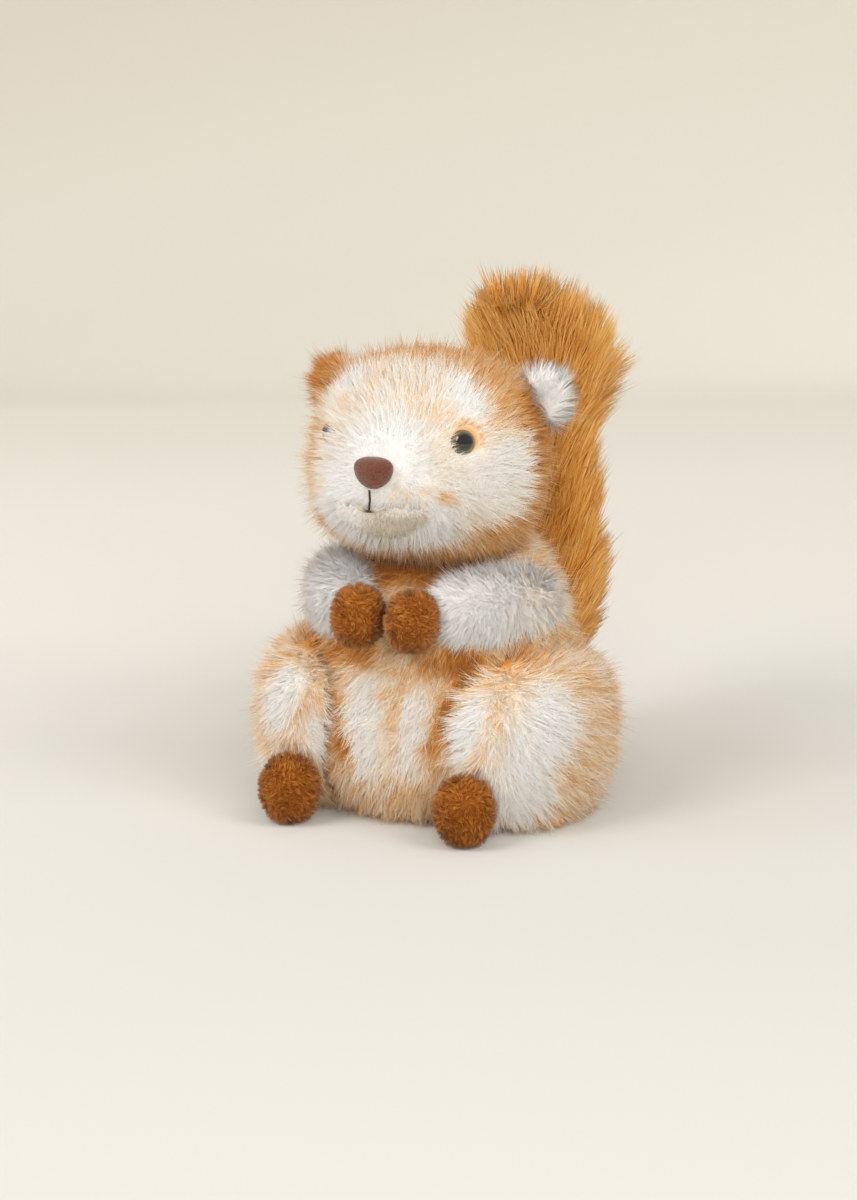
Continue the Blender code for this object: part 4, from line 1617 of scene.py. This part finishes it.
@dataclass(frozen=True)
class Lamp:
    """A round soft lamp that looks at the squirrel. Its share is what a white surface facing it gives back."""

    name: str
    share: float
    size: float
    distance: float
    azimuth: float
    elevation: float
    mirrored: bool = True

    @property
    def power(self) -> float:
        """The lamp's power in watts."""
        return self.share * (math.pi * self.distance) ** 2

    def build(self) -> None:
        """Makes the lamp."""
        light = bpy.data.lights.new(self.name, "AREA")
        light.shape = "DISK"
        light.size = self.size
        light.energy = self.power
        light.color = LAMP_COLOUR
        made = to_scene(self.name, light)
        towards = direction(self.azimuth, self.elevation)
        made.location = Vector((0.0, 0.0, LAMP_AIM)) + towards * self.distance
        made.rotation_mode = "QUATERNION"
        made.rotation_quaternion = towards.to_track_quat("Z", "Y")
        made.visible_glossy = self.mirrored


LAMP_COLOUR = (1.0, 0.99, 0.97)
LAMP_AIM = 0.08
LAMPS = (
    Lamp("key", 0.34, 1.2, 2.4, -26.0, 42.0),
    Lamp("front", 0.46, 1.5, 2.5, 30.0, 20.0, mirrored=False),
    Lamp("side", 0.36, 1.5, 2.5, 74.0, 38.0, mirrored=False),
    Lamp("left", 0.24, 1.5, 2.5, -55.0, 12.0, mirrored=False),
)


def direction(azimuth: float, elevation: float) -> Vector:
    """The unit vector from the squirrel towards an azimuth and elevation in degrees."""
    around, above = math.radians(azimuth), math.radians(elevation)
    return Vector((math.sin(around) * math.cos(above), -math.cos(around) * math.cos(above), math.sin(above)))


@dataclass
class Studio:
    """The pale sweep of paper, the soft lamps, the fill and the camera."""

    half_width: float = 5.0
    front: float = 4.0
    back: float = 1.35
    height: float = 2.2
    curve: float = 0.30
    fill: float = 0.48

    def camera(self) -> None:
        """Makes the camera at the photograph's view."""
        lens = bpy.data.cameras.new("camera")
        lens.lens = LENS
        lens.sensor_width = SENSOR
        lens.clip_start = 0.05
        lens.clip_end = 20.0
        camera = to_scene("camera", lens)
        back = direction(VIEW_AZIMUTH, VIEW_ELEVATION)
        camera.location = Vector(VIEW_TARGET) + back * VIEW_DISTANCE
        camera.rotation_mode = "QUATERNION"
        camera.rotation_quaternion = (-back).to_track_quat("-Z", "Y")
        bpy.context.scene.camera = camera

    def sweep(self) -> None:
        """Makes the paper: a floor that curves up into a wall behind the squirrel."""
        shape = bmesh.new()
        corners = ((-self.front, 0.0), (self.back, 0.0), (self.back, self.height))
        profile = [shape.verts.new((-self.half_width, along, rise)) for along, rise in corners]
        edges = [shape.edges.new(pair) for pair in zip(profile, profile[1:])]
        swept = bmesh.ops.extrude_edge_only(shape, edges=edges)["geom"]
        moved = [part for part in swept if isinstance(part, bmesh.types.BMVert)]
        bmesh.ops.translate(shape, verts=moved, vec=(2 * self.half_width, 0.0, 0.0))
        foot = [vertex for vertex in shape.verts if abs(vertex.co.y - self.back) + abs(vertex.co.z) < 1e-6]
        fold = [edge for edge in shape.edges if all(vertex in foot for vertex in edge.verts)]
        bmesh.ops.bevel(shape, geom=fold, offset=self.curve, segments=24, affect="EDGES", profile=0.5, material=-1)
        bmesh.ops.rotate(
            shape, verts=shape.verts, cent=(0, 0, 0), matrix=Matrix.Rotation(math.radians(VIEW_AZIMUTH), 3, "Z")
        )
        bmesh.ops.recalc_face_normals(shape, faces=shape.faces)
        paper = to_object("paper_sweep", shape, PaperFinish().build("paper"))

    def light(self) -> None:
        """Makes the lamps and the fill."""
        for lamp in LAMPS:
            lamp.build()
        world = bpy.data.worlds.new("fill")
        world.use_nodes = True
        background = world.node_tree.nodes["Background"]
        background.inputs["Color"].default_value = (*LAMP_COLOUR, 1.0)
        background.inputs["Strength"].default_value = self.fill
        bpy.context.scene.world = world

    def build(self) -> None:
        """Sets up the studio."""
        self.camera()
        self.sweep()
        self.light()
        bpy.context.scene.view_settings.view_transform = "Standard"


def sewn_pieces(solids: Solids) -> list[SewnPiece]:
    """All the stuffed pieces in order.

    Args:
        solids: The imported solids.

    Returns:
        The pieces, not yet built.
    """
    made: list[SewnPiece] = [
        Head(
            solids, "head", Slot.STRIPED, STRIPED_DYE, HEAD_PATTERN, HEAD_PILE, voxel=3.6 * MM, inset=3.6 * MM,
            sewn_to=("torso", "left_ear", "right_ear"),
        ),
        Torso(
            solids, "torso", Slot.STRIPED, STRIPED_DYE, TORSO_PATTERN, TORSO_PILE, voxel=4.2 * MM, inset=4.0 * MM,
            sewn_to=("head", "left_arm", "right_arm", "left_leg", "right_leg", "tail"),
        ),
        Tail(
            solids, "tail", Slot.BRUSH, BRUSH_DYE, TAIL_PATTERN, TAIL_PILE, voxel=4.5 * MM, inset=6.0 * MM,
            evened=18, sewn_to=("torso",),
        ),
        Chin(
            solids, "chin_patch", Slot.PANEL, PANEL_DYE, CHIN_PATTERN, CHIN_PILE, voxel=0.95 * MM, inset=0.2 * MM,
            floor_inset=0.2 * MM, puff=0.2 * MM, evened=4,
        ),
    ]
    for side in Side:
        label = side.label
        made += [
            # Ears and arms get less painted shade on their skins than the other pieces.
            Ear(
                solids, f"{label}_ear", Slot.WHITE, STRIPED_DYE, EAR_PATTERN, EAR_PILE, voxel=2.2 * MM,
                inset=2.8 * MM, puff=0.4 * MM, ground_shade_factor=0.95, side=side, sewn_to=("head",),
            ),
            Arm(
                solids, f"{label}_arm", Slot.WHITE, STRIPED_DYE, ARM_PATTERN, ARM_PILE, voxel=3.6 * MM,
                inset=3.6 * MM, ground_shade_factor=0.95, side=side, sewn_to=("torso", f"{label}_paw", f"{label}_leg"),
            ),
            Leg(
                solids, f"{label}_leg", Slot.WHITE, STRIPED_DYE, LEG_PATTERN, LEG_PILE, voxel=4.0 * MM,
                inset=4.0 * MM, side=side, sewn_to=("torso", f"{label}_foot", f"{label}_arm"),
            ),
            Ball(
                solids, f"{label}_paw", Slot.CARAMEL, CARAMEL_DYE, PAW_PATTERN, BALL_PILE, voxel=2.2 * MM,
                inset=1.6 * MM, puff=0.6 * MM,
            ),
            Ball(
                solids, f"{label}_foot", Slot.FOOT, FOOT_DYE, FOOT_PATTERN, BALL_PILE, voxel=2.2 * MM,
                inset=1.6 * MM, puff=0.6 * MM,
            ),
        ]
    for number, piece in enumerate(made):
        piece.seed = 11 + number
    return made


def main() -> None:
    """Fixes the noise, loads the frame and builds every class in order."""
    logging.basicConfig(level=logging.INFO, format="%(name)s: %(message)s")
    noise.seed_set(NOISE_SEED)
    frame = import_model()
    Studio().build()
    solids = Solids(frame["nodes"])
    for piece in sewn_pieces(solids):
        piece.build()
    Nose(solids).build()
    Dressed(frame, "mouth_stitch", ThreadFinish()).build()
    for side in Side:
        Eye(solids, side).build()
        Dressed(frame, f"{side.label}_eye_washer", MouldedFinish()).build()


if __name__ == "__main__":
    main()
